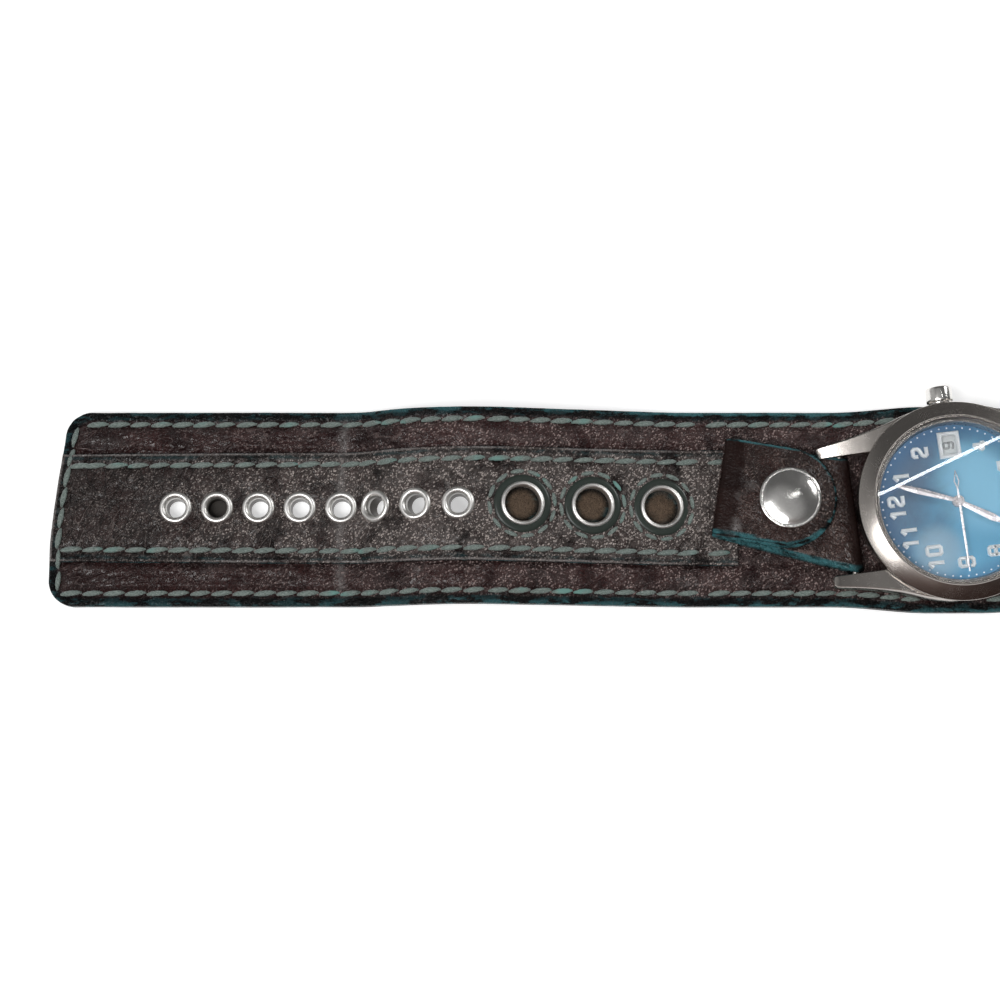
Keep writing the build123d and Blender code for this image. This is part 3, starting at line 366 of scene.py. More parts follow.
def glass_finish():
    """Mineral glass with faint hairlines."""
    finish, work, shader = start_finish("crystal_glass")
    where = work.on_mesh()
    lines = work.cloud(work.stretched(where, (0.3, 3.0, 1.0)), 1.6, 5.0, 0.8, 0.4)
    shader.inputs["Base Color"].default_value = (0.97, 0.985, 1.0, 1.0)
    shader.inputs["Transmission Weight"].default_value = 1.0
    shader.inputs["IOR"].default_value = 1.5
    work.feed(shader.inputs["Roughness"], work.spread(lines, 0.56, 0.74, 0.0, 0.10))
    clear = work.put("ShaderNodeBsdfTransparent", None, Color=(0.95, 0.97, 0.98))
    ray = work.put("ShaderNodeLightPath")
    through = work.most(ray.outputs["Is Shadow Ray"], ray.outputs["Is Diffuse Ray"])
    both = work.put("ShaderNodeMixShader", None, Fac=through)
    work.feed(both.inputs[1], shader.outputs[0])
    work.feed(both.inputs[2], clear.outputs[0])
    work.feed(work.tree.nodes["Material Output"].inputs["Surface"], both.outputs[0])
    return finish


# Each leather: its body and deep tones, the colour of its painted highlights (partly pale scuffs),
# pebble size, grain depth, highlight share, crease lean and share of cracks.
COVER = leather_finish(
    "cover_leather", (0.048, 0.0190, 0.0180), (0.015, 0.0064, 0.0064), (0.34, 0.255, 0.24),
    1.95, 0.20, 0.66, -22.0, 0.30,
)
STRIP = leather_finish(
    "strip_leather", (0.036, 0.0190, 0.0175), (0.012, 0.0078, 0.0072), (0.42, 0.365, 0.34),
    2.05, 0.19, 1.30, -68.0, 0.75,
)
TAB = leather_finish(
    "tab_leather", (0.052, 0.0240, 0.0205), (0.012, 0.0062, 0.0055), (0.40, 0.31, 0.28),
    1.85, 0.20, 1.15, 15.0, 0.20,
)
LINING = leather_finish(
    "lining_leather", (0.030, 0.020, 0.014), (0.014, 0.010, 0.008), (0.10, 0.08, 0.06),
    2.2, 0.08, 0.15,
)
RING = leather_finish(
    "ring_leather", (0.050, 0.062, 0.054), (0.026, 0.034, 0.029), (0.14, 0.16, 0.145), 2.6, 0.05,
)
THREAD = thread_finish(
    "waxed_thread", (0.27, 0.325, 0.295), (0.046, 0.070, 0.064), (0.125, 0.270, 0.240)
)
NICKEL = metal_finish("polished_nickel", (0.80, 0.785, 0.76), 0.14, 0.26, 0.12, (1.0, 3.0, 1.0))
SOFT_NICKEL = metal_finish("worn_nickel", (0.80, 0.785, 0.76), 0.40, 0.50, 0.10)
# Nickel painted dark, as painted shade inside the small eyelets' barrels.
BARREL_SHADE = metal_finish("oxidised_nickel", (0.10, 0.092, 0.085), 0.30, 0.45, 0.2)
STEEL = metal_finish("satin_steel", (0.58, 0.555, 0.525), 0.24, 0.34, 0.10, (0.6, 4.0, 1.0))
CONE = metal_finish("bezel_steel", (0.44, 0.408, 0.380), 0.22, 0.29, 0.04)
SILVER = metal_finish("marker_silver", (0.90, 0.90, 0.90), 0.30, 0.45, 0.2, metallic=0.62)
HANDS = metal_finish("hand_silver", (0.86, 0.79, 0.785), 0.26, 0.42, 0.2, metallic=0.62)
BRASS = metal_finish("movement_brass", (0.70, 0.52, 0.28), 0.25, 0.42, 0.2)
COPPER = metal_finish("coil_copper", (0.72, 0.34, 0.20), 0.25, 0.45, 0.3, (6.0, 0.5, 1.0))
DIAL = dial_finish()
GLASS = glass_finish()
DARK_DISC, RUBBER, HOLDER, DATE, BOARD, INK, REFLECTOR = [plain_finish(*row) for row in (
    ("dark_suede", (0.012, 0.010, 0.008), (0.045, 0.038, 0.032), 0.8, 3.0, 0.1),
    ("gasket_rubber", (0.012, 0.012, 0.012), (0.03, 0.03, 0.03), 0.7, 4.0, 0.05),
    ("holder_plastic", (0.55, 0.54, 0.50), (0.68, 0.67, 0.63), 0.45, 2.0, 0.04),
    ("date_plastic", (0.70, 0.70, 0.68), (0.82, 0.82, 0.80), 0.4, 3.0, 0.02),
    ("board_plastic", (0.01, 0.09, 0.04), (0.02, 0.16, 0.07), 0.4, 3.0, 0.03),
    ("date_ink", (0.006, 0.006, 0.008), (0.02, 0.02, 0.025), 0.5, 6.0, 0.01),
    ("dial_ring_steel", (0.34, 0.34, 0.35), (0.46, 0.46, 0.47), 0.3, 3.0, 0.02, 1.0),
)]

SLOT_FINISH = {
    "wing_leather": COVER, "strip_leather": STRIP, "lining_leather": LINING, "tab_leather": TAB,
    "ring_leather": RING, "thread": THREAD, "nickel": NICKEL, "steel": STEEL,
    "crystal_glass": GLASS, "gasket_rubber": RUBBER, "dial_blue": DIAL, "marker_silver": SILVER,
    "hand_silver": HANDS, "movement_brass": BRASS, "holder_plastic": HOLDER,
    "date_plastic": DATE, "coil_copper": COPPER, "board_plastic": BOARD,
}


# ---- mesh helpers -------------------------------------------------------------------

def show(name, mesh):
    """Put a mesh in the scene as an object at the origin."""
    piece = bpy.data.objects.new(name, mesh)
    bpy.context.scene.collection.objects.link(piece)
    return piece


def shaded(mesh, sharp):
    """Smooth shading with sharp corners past an angle."""
    mesh.polygons.foreach_set("use_smooth", [True] * len(mesh.polygons))
    mesh.set_sharp_from_angle(angle=radians(sharp))


def solid(name, parts, finish, place=None, sharp=32.0):
    """A closed piece from lists of points and faces, in millimetres."""
    points, faces = [], []
    for some_points, some_faces in parts:
        base = len(points)
        points += some_points
        faces += [tuple(base + index for index in face) for face in some_faces]
    mesh = bpy.data.meshes.new(name)
    mesh.from_pydata([tuple(point) for point in points], [], faces)
    form = bmesh.new()
    form.from_mesh(mesh)
    bmesh.ops.remove_doubles(form, verts=form.verts, dist=1e-4)
    bmesh.ops.dissolve_degenerate(form, dist=1e-5, edges=form.edges)
    bmesh.ops.recalc_face_normals(form, faces=form.faces)
    form.to_mesh(mesh)
    form.free()
    mesh.transform(Matrix.Scale(MM, 4) @ (place or Matrix.Identity(4)))
    mesh.materials.append(finish)
    shaded(mesh, sharp)
    return show(name, mesh)


def skin(sections, closed=False):
    """Points and faces over a row of like outlines, shut at both ends or run round."""
    ring, count = len(sections[0]), len(sections)
    faces = []
    for i in range(count if closed else count - 1):
        a, b = i * ring, (i + 1) % count * ring
        for k in range(ring):
            m = (k + 1) % ring
            faces.append((a + k, b + k, b + m, a + m))
    if not closed:
        faces.append(tuple(range(ring)))
        faces.append(tuple((count - 1) * ring + k for k in reversed(range(ring))))
    return [point for section in sections for point in section], faces


def lathe(profile, steps=96):
    """Points and faces of a closed outline of radius and height, turned about Z."""
    turns = [2 * pi * k / steps for k in range(steps)]
    return skin([[(r * cos(turn), r * sin(turn), z) for r, z in profile] for turn in turns], True)


def moved(form, place):
    """Points and faces taken to another place."""
    points, faces = form
    return [tuple(place @ Vector(point)) for point in points], faces


def tidy_copy(node, name, finish, bevel):
    """A merged copy of a CAD piece with rounded corners."""
    form = bmesh.new()
    form.from_mesh(nodes[node].data)
    bmesh.ops.remove_doubles(form, verts=form.verts, dist=1e-7)
    flat = radians(1.0)
    bmesh.ops.dissolve_limit(form, angle_limit=flat, verts=form.verts, edges=form.edges)
    mesh = bpy.data.meshes.new(name)
    form.to_mesh(mesh)
    form.free()
    mesh.materials.clear()
    mesh.materials.append(finish)
    rough = show(name + "_rough", mesh)
    if bevel:
        rounding = rough.modifiers.new("rounding", "BEVEL")
        rounding.width = bevel * MM
        rounding.segments = 3
        rounding.limit_method = "ANGLE"
        rounding.angle_limit = radians(30.0)
        rounding.harden_normals = False
    done = converted(rough, name)
    shaded(done.data, 40.0)
    return done


def converted(rough, name):
    """The evaluated object as a plain mesh, and the rough one gone."""
    bpy.context.view_layer.update()
    seen = bpy.context.evaluated_depsgraph_get()
    mesh = bpy.data.meshes.new_from_object(
        rough.evaluated_get(seen), preserve_all_data_layers=True, depsgraph=seen
    )
    mesh.name = name
    old = rough.data
    bpy.data.objects.remove(rough)
    if old.users == 0:
        bpy.data.meshes.remove(old)
    return show(name, mesh)


def settle(piece, body, slot, *replaced):
    """Say what a finished piece rides on and stands for; its slot is not used."""
    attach(piece, body)
    if replaced:
        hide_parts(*replaced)
    return piece


# ---- repeated pieces ----------------------------------------------------------------

def scatter_tree():
    """Geometry nodes that set one shape at many places, each with its own turn and size."""
    tree = bpy.data.node_groups.new("set_at_places", "GeometryNodeTree")
    face, work, keys = tree.interface, Workings(tree), {}
    for name, kind in (
        ("Places", "Geometry"), ("Shape", "Object"), ("Finish", "Material"),
        ("Unevenness", "Float"), ("Seed", "Int"),
    ):
        socket = face.new_socket(name, in_out="INPUT", socket_type="NodeSocket" + kind)
        keys[name] = socket.identifier
    face.new_socket("Pieces", in_out="OUTPUT", socket_type="NodeSocketGeometry")
    given = work.put("NodeGroupInput").outputs
    result = work.put("NodeGroupOutput")
    turn = work.put("GeometryNodeInputNamedAttribute", {"data_type": "FLOAT_VECTOR"}, Name="turn")
    turned = work.put("FunctionNodeEulerToRotation", None, Euler=turn.outputs[0])
    shape = work.put("GeometryNodeObjectInfo", None, Object=given["Shape"])
    chance = work.put("FunctionNodeRandomValue", {"data_type": "FLOAT"}, Seed=given["Seed"])
    work.feed(chance.inputs[2], work.minus(1.0, given["Unevenness"]))
    work.feed(chance.inputs[3], work.plus(1.0, given["Unevenness"]))
    placed = work.put(
        "GeometryNodeInstanceOnPoints", None, Points=given["Places"],
        Instance=shape.outputs["Geometry"], Rotation=turned.outputs[0], Scale=chance.outputs[1],
    )
    real = work.put("GeometryNodeRealizeInstances", None, Geometry=placed.outputs[0])
    dressed = work.put(
        "GeometryNodeSetMaterial", None, Geometry=real.outputs[0], Material=given["Finish"]
    )
    work.feed(result.inputs[0], dressed.outputs[0])
    return tree, keys


SCATTER, SCATTER_KEYS = scatter_tree()


def scatter(name, shape, places, finish, unevenness=0.0, seed=1):
    """One mesh of a shape set at many places, given as matrices in millimetres."""
    mesh = bpy.data.meshes.new(name + "_places")
    mesh.from_pydata([tuple(place.translation * MM) for place in places], [], [])
    turn = mesh.attributes.new("turn", "FLOAT_VECTOR", "POINT")
    turn.data.foreach_set("vector", [v for place in places for v in place.to_euler()])
    rough = show(name + "_rough", mesh)
    setting = rough.modifiers.new("places", "NODES")
    setting.node_group = SCATTER
    given = {"Shape": shape, "Finish": finish, "Unevenness": unevenness, "Seed": seed}
    for key, value in given.items():
        setting[SCATTER_KEYS[key]] = value
    rough.update_tag()
    return converted(rough, name)


def pattern(name, parts, sharp=40.0):
    """A shape kept only while it is being scattered."""
    return solid(name, parts, THREAD, None, sharp)


def drop(*shapes):
    """Remove shapes that were only patterns."""
    for shape in shapes:
        mesh = shape.data
        bpy.data.objects.remove(shape)
        bpy.data.meshes.remove(mesh)


# ---- the line of the leather --------------------------------------------------------

def walk(runs, along, x, z):
    """Place and heading along a line of straight runs and arcs, and the length left over."""
    heading = 0.0
    for length, turn in runs:
        step = max(min(along, length), 0.0)
        if turn:
            radius = length / turn
            end = heading + step / radius
            x += radius * (sin(end) - sin(heading))
            z += radius * (cos(heading) - cos(end))
            heading = end
        else:
            x += step * cos(heading)
            z += step * sin(heading)
        along -= step
    return x, z, heading, along


def station(along):
    """Place and heading of the leather's middle line, straight past its last bend."""
    x, z, heading, rest = walk(STRAP_PATH, along, TAIL_X, NEUTRAL_Z)
    return x + max(rest, 0.0), z, heading


def on_strap(along, height, across):
    """A point of the leather at a height over its underside."""
    x, z, heading = station(along)
    rise = height - NEUTRAL_Z
    return x - rise * sin(heading), across, z + rise * cos(heading)


def strap_place(along, height, across, turn=0.0):
    """A frame on the leather, turned about the line that stands out of it."""
    heading = station(along)[2]
    return (
        Matrix.Translation(on_strap(along, height, across))
        @ Matrix.Rotation(-heading, 4, "Y") @ Matrix.Rotation(turn, 4, "Z")
    )


def smooth(low, high, value):
    """A smooth step from 0 to 1."""
    share = min(max((value - low) / (high - low), 0.0), 1.0)
    return share * share * (3 - 2 * share)


def soft(along, across, long, wide, seed):
    """Soft noise on the hide."""
    return noise.noise(Vector((along / long, across / wide, seed)))


def ridges(along, across, long, wide, seed):
    """Noise with sharp crests, as wrinkles have."""
    bent = along + 3.0 * soft(along, across, 9.0, 4.0, seed + 5.0)
    return (1 - min(1.0, 2.6 * abs(soft(bent, across, long, wide, seed)))) ** 2


def strip_half(x):
    """Half width of the centre strip."""
    share = (x - TAIL_X) / (-STRIP_END_X - TAIL_X)
    return (22.0 + 1.6 * min(share, 1.0)) / 2


def cuff_half(x):
    """Half width of the cuff, wider under the head."""
    share = smooth(24.0, 5.0, abs(x))
    return CUFF_HALF - 0.35 * smooth(50.0, 58.0, x) + (HEAD_FLARE - 0.3) * share


def marks_between(start, end, pitch=PITCH):
    """Evenly pitched places between two ends, centred in the run."""
    count = int((end - start) / pitch) + 1
    first = (start + end - (count - 1) * pitch) / 2
    return [first + n * pitch for n in range(count)]


ROW_START = 4.6
ROWS = (
    [ROW_START + n * (TAIL_JOINT - 2.2 - ROW_START) / 19 for n in range(20)]
    + marks_between(TAIL_JOINT + 2.2, PATH_END - 2.2)
    + [MID_PAD + x for x in marks_between(-CROWN_BEND_X + 2.2, CROWN_BEND_X - 2.2)]
    + [MID_PAD + x for x in marks_between(CROWN_BEND_X + 2.2, LINING_END_X - 2.2)]
)


def pulled(along, off_row):
    """Depth of the groove that the thread pulls, deepest where it goes in."""
    near = min(ROWS, key=lambda mark: abs(mark - along))
    hole = exp(-((abs(along - near) - PITCH / 2) / 0.55) ** 2)
    return exp(-(off_row / 0.72) ** 2) * (0.30 + 0.32 * hole) * smooth(2.4, 4.4, along)


def calm(along):
    """No wrinkles where two lengths of leather meet."""
    return min(smooth(0.2, 2.0, abs(along - split)) for split in (STRAP_SPLIT, MID_PAD))


def cover_height(along, x, y):
    """Top of the cover: puffed, wrinkled wings between the rows of thread."""
    far = abs(y)
    row = cuff_half(x) - EDGE_ROW
    strip = strip_half(x)
    wing = smooth(strip - 0.2, strip + 1.5, far) * smooth(row, row - 1.7, far)
    past = along - slant(y) - END_ROW
    wing *= smooth(0.0, 1.7, past)
    quiet = calm(along)
    fold = 0.36 * ridges(along + 0.9 * y, y, 13.0, 2.1, 3.0)
    fold += 0.24 * ridges(along + 1.4 * y, y, 4.5, 1.3, 8.0)
    swell = 0.16 * soft(along, y, 12.0, 6.0, 11.0)
    height = COVER_TOP - 0.10 + 0.62 * wing + quiet * (fold * (0.25 + wing) + swell * wing)
    height -= pulled(along, far - row) + 0.34 * exp(-(past / 0.7) ** 2)
    height += 0.10 * quiet * smooth(row, row + 1.0, far) * soft(along, y, 2.5, 1.4, 21.0)
    if far < strip - 1.0:
        height = COVER_TOP - 0.06
    return height


def strip_height(along, x, y):
    """Top of the strip, pulled down by its thread and its eyelets."""
    far = abs(y)
    half = strip_half(x)
    row = half - STRIP_ROW
    quiet = calm(along)
    height = STRIP_TOP + 0.10 * smooth(row, row - 2.5, far)
    fold = 0.10 * ridges(along, y, 11.0, 2.6, 31.0)
    height += quiet * (fold + 0.12 * soft(along, y, 7.0, 4.0, 35.0))
    height -= pulled(along, far - row) + 0.34 * exp(-((along - slant(y) - END_ROW) / 0.7) ** 2)
    for centre in SMALL_STATIONS:
        off = hypot(along - centre, y)
        if off < 6.0:
            height -= 0.20 * exp(-((off - 2.6) / 1.3) ** 2)
    for centre in LARGE_STATIONS:
        off = hypot(along - centre, y)
        if off < 9.0:
            height -= 0.16 * exp(-((off - RING_ROW) / 0.7) ** 2)
            height -= 0.10 * smooth(6.4, 5.6, off)
    return height


def crease(along, y):
    """Wear of the sharp bend across the tail, and of the high spots of the wings."""
    bend = exp(-((along - CREASE_AT - 0.8 * soft(along, y, 9.0, 5.0, 40.0)) / 0.85) ** 2)
    rub = 0.10 * smooth(0.15, 0.5, soft(along, y, 14.0, 3.0, 43.0))
    return min(1.0, 0.62 * bend + rub)


# ---- sheets of leather --------------------------------------------------------------

def roll(inside, radius):
    """How far a rounded edge has dropped at a distance inside it."""
    if inside >= radius:
        return 0.0
    return radius - sqrt(max(radius ** 2 - (radius - max(inside, 0.0)) ** 2, 0.0))


EDGE_STEPS = [0.0, 0.02, 0.08, 0.2, 0.38, 0.62, 0.95]


def across_rows(half, fine_to, fine, coarse, core=0.0):
    """Places across a sheet: close at its edges, then fine, then coarse to its core."""
    rows, inside = list(EDGE_STEPS), EDGE_STEPS[-1]
    while inside < half:
        at = half - inside
        step = fine if at > fine_to or at <= core else coarse
        inside += step
        rows.append(min(inside, half))
    shares = [1 - row / half for row in rows if half - row > 0.15] + [0.0]
    return [-share for share in shares] + shares[-2::-1]


def along_marks(start, end, step, first_edge=False, last_edge=False):
    """Places along a sheet, close together at a true end."""
    low = start + (EDGE_STEPS[-1] if first_edge else 0.0)
    high = end - (EDGE_STEPS[-1] if last_edge else 0.0)
    count = max(int((high - low) / step + 0.5), 1)
    marks = [low + (high - low) * n / count for n in range(count + 1)]
    if first_edge:
        marks = [start + inside for inside in EDGE_STEPS[:-1]] + marks
    if last_edge:
        marks += [end - inside for inside in reversed(EDGE_STEPS[:-1])]
    return marks


TRAITS = ("paint", "dye", "wear", "suede", "rubbed")


def sheet(
    name, marks, rows, plan, spot, top, bottom, finish,
    skip=None, traits=None, flat_ends=(), rim=0.42, bare=0.5,
):
    """A closed sheet of leather. plan gives a place along, across and inside its edge;
    spot takes it to its place in space."""
    grid = [[plan(mark, row) for row in rows] for mark in marks]
    count, wide = len(marks), len(rows)
    points, uvs, stored = [], [], {key: [] for key in TRAITS}
    for level, side in ((top, -1), (bottom, 1)):
        for line in grid:
            for along, y, inside in line:
                round_r = rim if side < 0 else rim * 0.7
                height = level(along, y, inside) + side * roll(inside, round_r)
                points.append(tuple(c * MM for c in spot(along, height, y)))
                uvs.append((along, y))
                marked = traits(along, y, inside) if traits else {}
                edge = smooth(bare, bare - 0.14, inside)
                stored["paint"].append(max(edge, marked.get("paint", 0.0)))
                stored["dye"].append(marked.get("dye", 0.5))
                stored["wear"].append(marked.get("wear", 0.0) if side < 0 else 0.0)
                stored["suede"].append(marked.get("suede", 0.0))
                stored["rubbed"].append(marked.get("rubbed", 0.0))
    low = count * wide

    def kept(i, j):
        """Whether a cell exists and isn't cut out."""
        if not (0 <= i < count - 1 and 0 <= j < wide - 1):
            return False
        near, far = grid[i][j], grid[i + 1][j + 1]
        return not (skip and skip((near[0] + far[0]) / 2, (near[1] + far[1]) / 2))

    faces, flat = [], []
    for i in range(count - 1):
        for j in range(wide - 1):
            if not kept(i, j):
                continue
            a = i * wide + j
            b, c, d = a + wide, a + wide + 1, a + 1
            faces += [(a, b, c, d), (d + low, c + low, b + low, a + low)]
            flat += [False, False]
            sides = ((a, b, i, j - 1), (b, c, i + 1, j), (c, d, i, j + 1), (d, a, i - 1, j))
            for p, q, ni, nj in sides:
                if not kept(ni, nj):
                    faces.append((q, p, p + low, q + low))
                    end = 0 if ni < 0 else 1 if ni >= count - 1 else None
                    cut = end is None and 0 <= nj < wide - 1
                    flat.append(cut or end in flat_ends)
    used = sorted({index for face in faces for index in face})
    place_of = {index: n for n, index in enumerate(used)}
    mesh = bpy.data.meshes.new(name)
    corners = [tuple(place_of[n] for n in face) for face in faces]
    mesh.from_pydata([points[n] for n in used], [], corners)
    mesh.polygons.foreach_set("use_smooth", [not value for value in flat])
    hide = mesh.uv_layers.new(name="hide")
    hide.data.foreach_set("uv", [v for f in faces for n in f for v in uvs[n]])
    for key, values in stored.items():
        layer = mesh.attributes.new(key, "FLOAT", "POINT")
        layer.data.foreach_set("value", [values[n] for n in used])
    mesh.materials.append(finish)
    return show(name, mesh)


def tail_line(y):
    """Where the slanted tail end begins, with its round corners."""
    far = CUFF_HALF - TAIL_CORNER
    line = slant(min(max(y, -far), far))
    if abs(y) > far:
        line += TAIL_CORNER - sqrt(max(TAIL_CORNER ** 2 - (abs(y) - far) ** 2, 0.0))
    return line


def slant(y):
    """The cut across the tail: square at first, then swinging away."""
    share = (y + CUFF_HALF) / (2 * CUFF_HALF)
    return TAIL_SLANT * (max(share - 0.30, 0.0) / 0.70) ** 1.3


TAIL_BLEND = 18.0


def strap_plan(half_at, tail, back=0.0):
    """Plan of a length of strap: across by its width, and along from the slanted tail."""
    def plan(mark, row):
        x = station(mark)[0]
        half = half_at(x)
        wander = 0.10 * soft(mark, row, 16.0, 50.0, 51.0) * abs(row) ** 3 * calm(mark)
        y = row * half + wander * (1 if row > 0 else -1)
        along, inside = mark, half - abs(row) * half
        if tail:
            line = tail_line(y) + back
            if mark < TAIL_BLEND:
                along = line + mark * (TAIL_BLEND - line) / TAIL_BLEND
            far = CUFF_HALF - TAIL_CORNER
            if half > far and abs(y) > far and along < line + TAIL_CORNER:
                centre = slant(far if y > 0 else -far) + TAIL_CORNER
                if along < centre:
                    inside = min(inside, TAIL_CORNER - hypot(centre - along, abs(y) - far))
            else:
                inside = min(inside, along - line)
            inside = min(inside, max(along - line, 0.0))
        return along, y, max(inside, 0.0)
    return plan


def in_hole(stations, radius):
    """Whether a cell is cut out for an eyelet."""
    def test(along, y):
        return abs(y) < radius and any(hypot(along - centre, y) < radius for centre in stations)
    return test


def cover_traits(along, y, inside):
    """Edge paint, wear, and the rough floor inside the large eyelets, with painted shadow round
    that floor.
    """
    x = station(along)[0]
    outer = smooth(EDGE_ROW - 0.1, EDGE_ROW - 1.3, inside)
    rim = smooth(0.95, 0.45, inside + 0.35 * soft(along, y, 3.0, 30.0, 63.0))
    bright = smooth(-66.0, -58.0, x) * smooth(-20.0, -26.0, x) if y > 0 else 0.0
    here = 0.16 + 0.35 * smooth(-150.0, -90.0, x)
    here += 0.30 * soft(along, y, 9.0, 30.0, 61.0) * smooth(-178.0, -165.0, x)
    off = min(hypot(along - centre, y) for centre in LARGE_STATIONS)
    floor = smooth(4.4, 3.6, off)
    return {
        "wear": crease(along, y),
        # Painted shadow: the floor inside each large eyelet is painted black in a ring under the
        # eyelet's rim.
        "paint": max(0.94 * outer, 0.90 * smooth(2.2, 3.3, off) * smooth(5.0, 4.6, off)),
        "dye": 0.05 + rim * (here + 0.75 * bright),
        "suede": floor,
    }


def strip_traits(along, y, inside):
    """Edge paint and wear of the strip, with a painted highlight along its rim."""
    # A painted highlight on the strip's cut edge, broken up along its length.
    rim_highlight = smooth(0.62, 0.42, inside) * smooth(-0.45, 0.1, soft(along, y, 14.0, 30.0, 65.0))
    dark = 0.8 * smooth(STRIP_ROW - 0.7, STRIP_ROW - 1.8, inside)
    return {
        "wear": max(crease(along, y), rim_highlight),
        "paint": dark * (1 - smooth(0.70, 0.48, inside)),
        "dye": 0.10 + 0.45 * smooth(0.4, 0.0, inside) * (0.6 + soft(along, y, 7.0, 30.0, 66.0)),
    }


def lining_traits(along, y, inside):
    """Edge paint of the lining."""
    return {"dye": 0.55 + 0.3 * soft(along, y, 11.0, 30.0, 71.0), "wear": 0.4 * crease(along, y)}


def by_x(function):
    """A height function that looks up the place along X itself, and needs no edge."""
    def at(along, y, inside):
        return function(along, station(along)[0], y)
    return at


def level(height):
    """A flat face."""
    return lambda along, y, inside: height


LINING_ROWS = across_rows(CUFF_HALF, 3.8, 0.9, 0.9, 3.8)
HOLE_ROWS = across_rows(CUFF_HALF, 10.6, 0.45, 1.3, 3.9)
PLAIN_ROWS = across_rows(CUFF_HALF, 10.6, 0.5, 1.6)
STRIP_ROWS = across_rows(11.4, 0.0, 0.43, 0.43)
STEP = 0.5

lining_plan = strap_plan(cuff_half, True)
plain_lining_plan = strap_plan(cuff_half, False)
strip_plan = strap_plan(strip_half, True, 0.3)
plain_strip_plan = strap_plan(strip_half, False)
small_hole = in_hole(SMALL_STATIONS, 2.85)
ring_hole = in_hole(LARGE_STATIONS, 4.75)


def both_holes(along, y):
    """Cells cut out of the strip."""
    return small_hole(along, y) or ring_hole(along, y)


def keeper_gap(along, y):
    """The slot of the lining that the keeper lies in."""
    return abs(along - MID_PAD - KEEPER_X) < 2.6


# The leather in three lengths, each with its run along the strap and the bodies of one joint
BENDS = (
    ("tail", 0.0, STRAP_SPLIT, ("tail_strap", "mid_strap"), (-98.2, -90.8)),
    ("middle", STRAP_SPLIT, MID_PAD, ("mid_strap", "head"), (-55.6, -48.4)),
    ("buckle", MID_PAD, None, ("head", "buckle_strap"), (48.4, 55.6)),
)


def bent(piece, which, slot, *replaced):
    """Bake a piece of one length of the cuff into place, and hide the pieces it stands for."""
    name, start, end, bodies, places = BENDS[which]
    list(bodies)
    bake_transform(piece)
    if replaced:
        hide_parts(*replaced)
    return piece


LOOP_START = 66.75
COVER_MID = 2.1
BAR_LOOP = [(6.25 * pi / 6, pi / 6), (6.25 * pi / 6, -pi / 6), (1.6 * pi, -pi), (4.2, 0.0)]


def on_cover(along, height, across):
    """A point of the cover, which wraps round the buckle bar at its end."""
    rest = along - MID_PAD - LOOP_START
    if rest <= 0:
        return on_strap(along, height, across)
    x, z, heading, rest = walk(BAR_LOOP, rest, LOOP_START, COVER_MID)
    rise = height - COVER_MID
    return x - rise * sin(heading), across, z + rise * cos(heading)


COVER_END = MID_PAD + LOOP_START + sum(length for length, turn in BAR_LOOP)
SLOT_FROM = MID_PAD + 69.0


def buckle_cover_height(along, y, inside):
    """Top of the cover towards the buckle, thinner where it wraps the bar."""
    wrap = smooth(MID_PAD + 63.0, MID_PAD + 68.0, along)
    return cover_height(along, station(along)[0], y) * (1 - wrap) + 2.70 * wrap


def buckle_cover_under(along, y, inside):
    """Underside of the cover towards the buckle."""
    return LINING_TOP + 0.10 * smooth(MID_PAD + 63.0, MID_PAD + 68.0, along)


def tongue_slot(along, y):
    """The slot that lets the tongue through."""
    return along > SLOT_FROM and abs(y) < 1.9


def outer_rows(rows, half, *extra):
    """The same places across, with more at a slot's sides."""
    shares = [side * value / half for value in extra for side in (1, -1)]
    return sorted(set(rows + shares))


tail_marks = along_marks(0.0, STRAP_SPLIT, STEP, first_edge=True)
middle_marks = along_marks(STRAP_SPLIT, MID_PAD, STEP)
coarse_middle = along_marks(STRAP_SPLIT, MID_PAD, 1.0)

bent(sheet(
    "tail_lining_leather", along_marks(0.0, STRAP_SPLIT, 0.6, True), LINING_ROWS, lining_plan,
    on_strap, level(LINING_TOP), level(0.0), LINING, small_hole, lining_traits, (1,),
), 0, "lining_leather", "tail_lining")
bent(sheet(
    "tail_cover_leather", tail_marks, HOLE_ROWS, lining_plan, on_strap, by_x(cover_height),
    level(LINING_TOP), COVER, small_hole, cover_traits, (1,),
), 0, "wing_leather", "tail_cover")
bent(sheet(
    "tail_strip_leather", tail_marks, STRIP_ROWS, strip_plan, on_strap, by_x(strip_height),
    level(COVER_TOP), STRIP, both_holes, strip_traits, (1,), bare=0.15,
), 0, "strip_leather", "tail_strip")
bent(sheet(
    "middle_lining_leather", coarse_middle, LINING_ROWS, plain_lining_plan, on_strap,
    level(LINING_TOP), level(0.0), LINING, None, lining_traits, (0, 1),
), 1, "lining_leather", "mid_lining")
bent(sheet(
    "middle_cover_leather", middle_marks, PLAIN_ROWS, plain_lining_plan, on_strap,
    by_x(cover_height), level(LINING_TOP), COVER, None, cover_traits, (0, 1),
), 1, "wing_leather", "mid_cover")
bent(sheet(
    "middle_strip_leather", along_marks(STRAP_SPLIT, MID_PAD - STRIP_END_X, STEP, False, True),
    STRIP_ROWS, plain_strip_plan, on_strap, by_x(strip_height), level(COVER_TOP), STRIP,
    ring_hole, strip_traits, (0,), bare=0.15,
), 1, "strip_leather", "mid_strip")

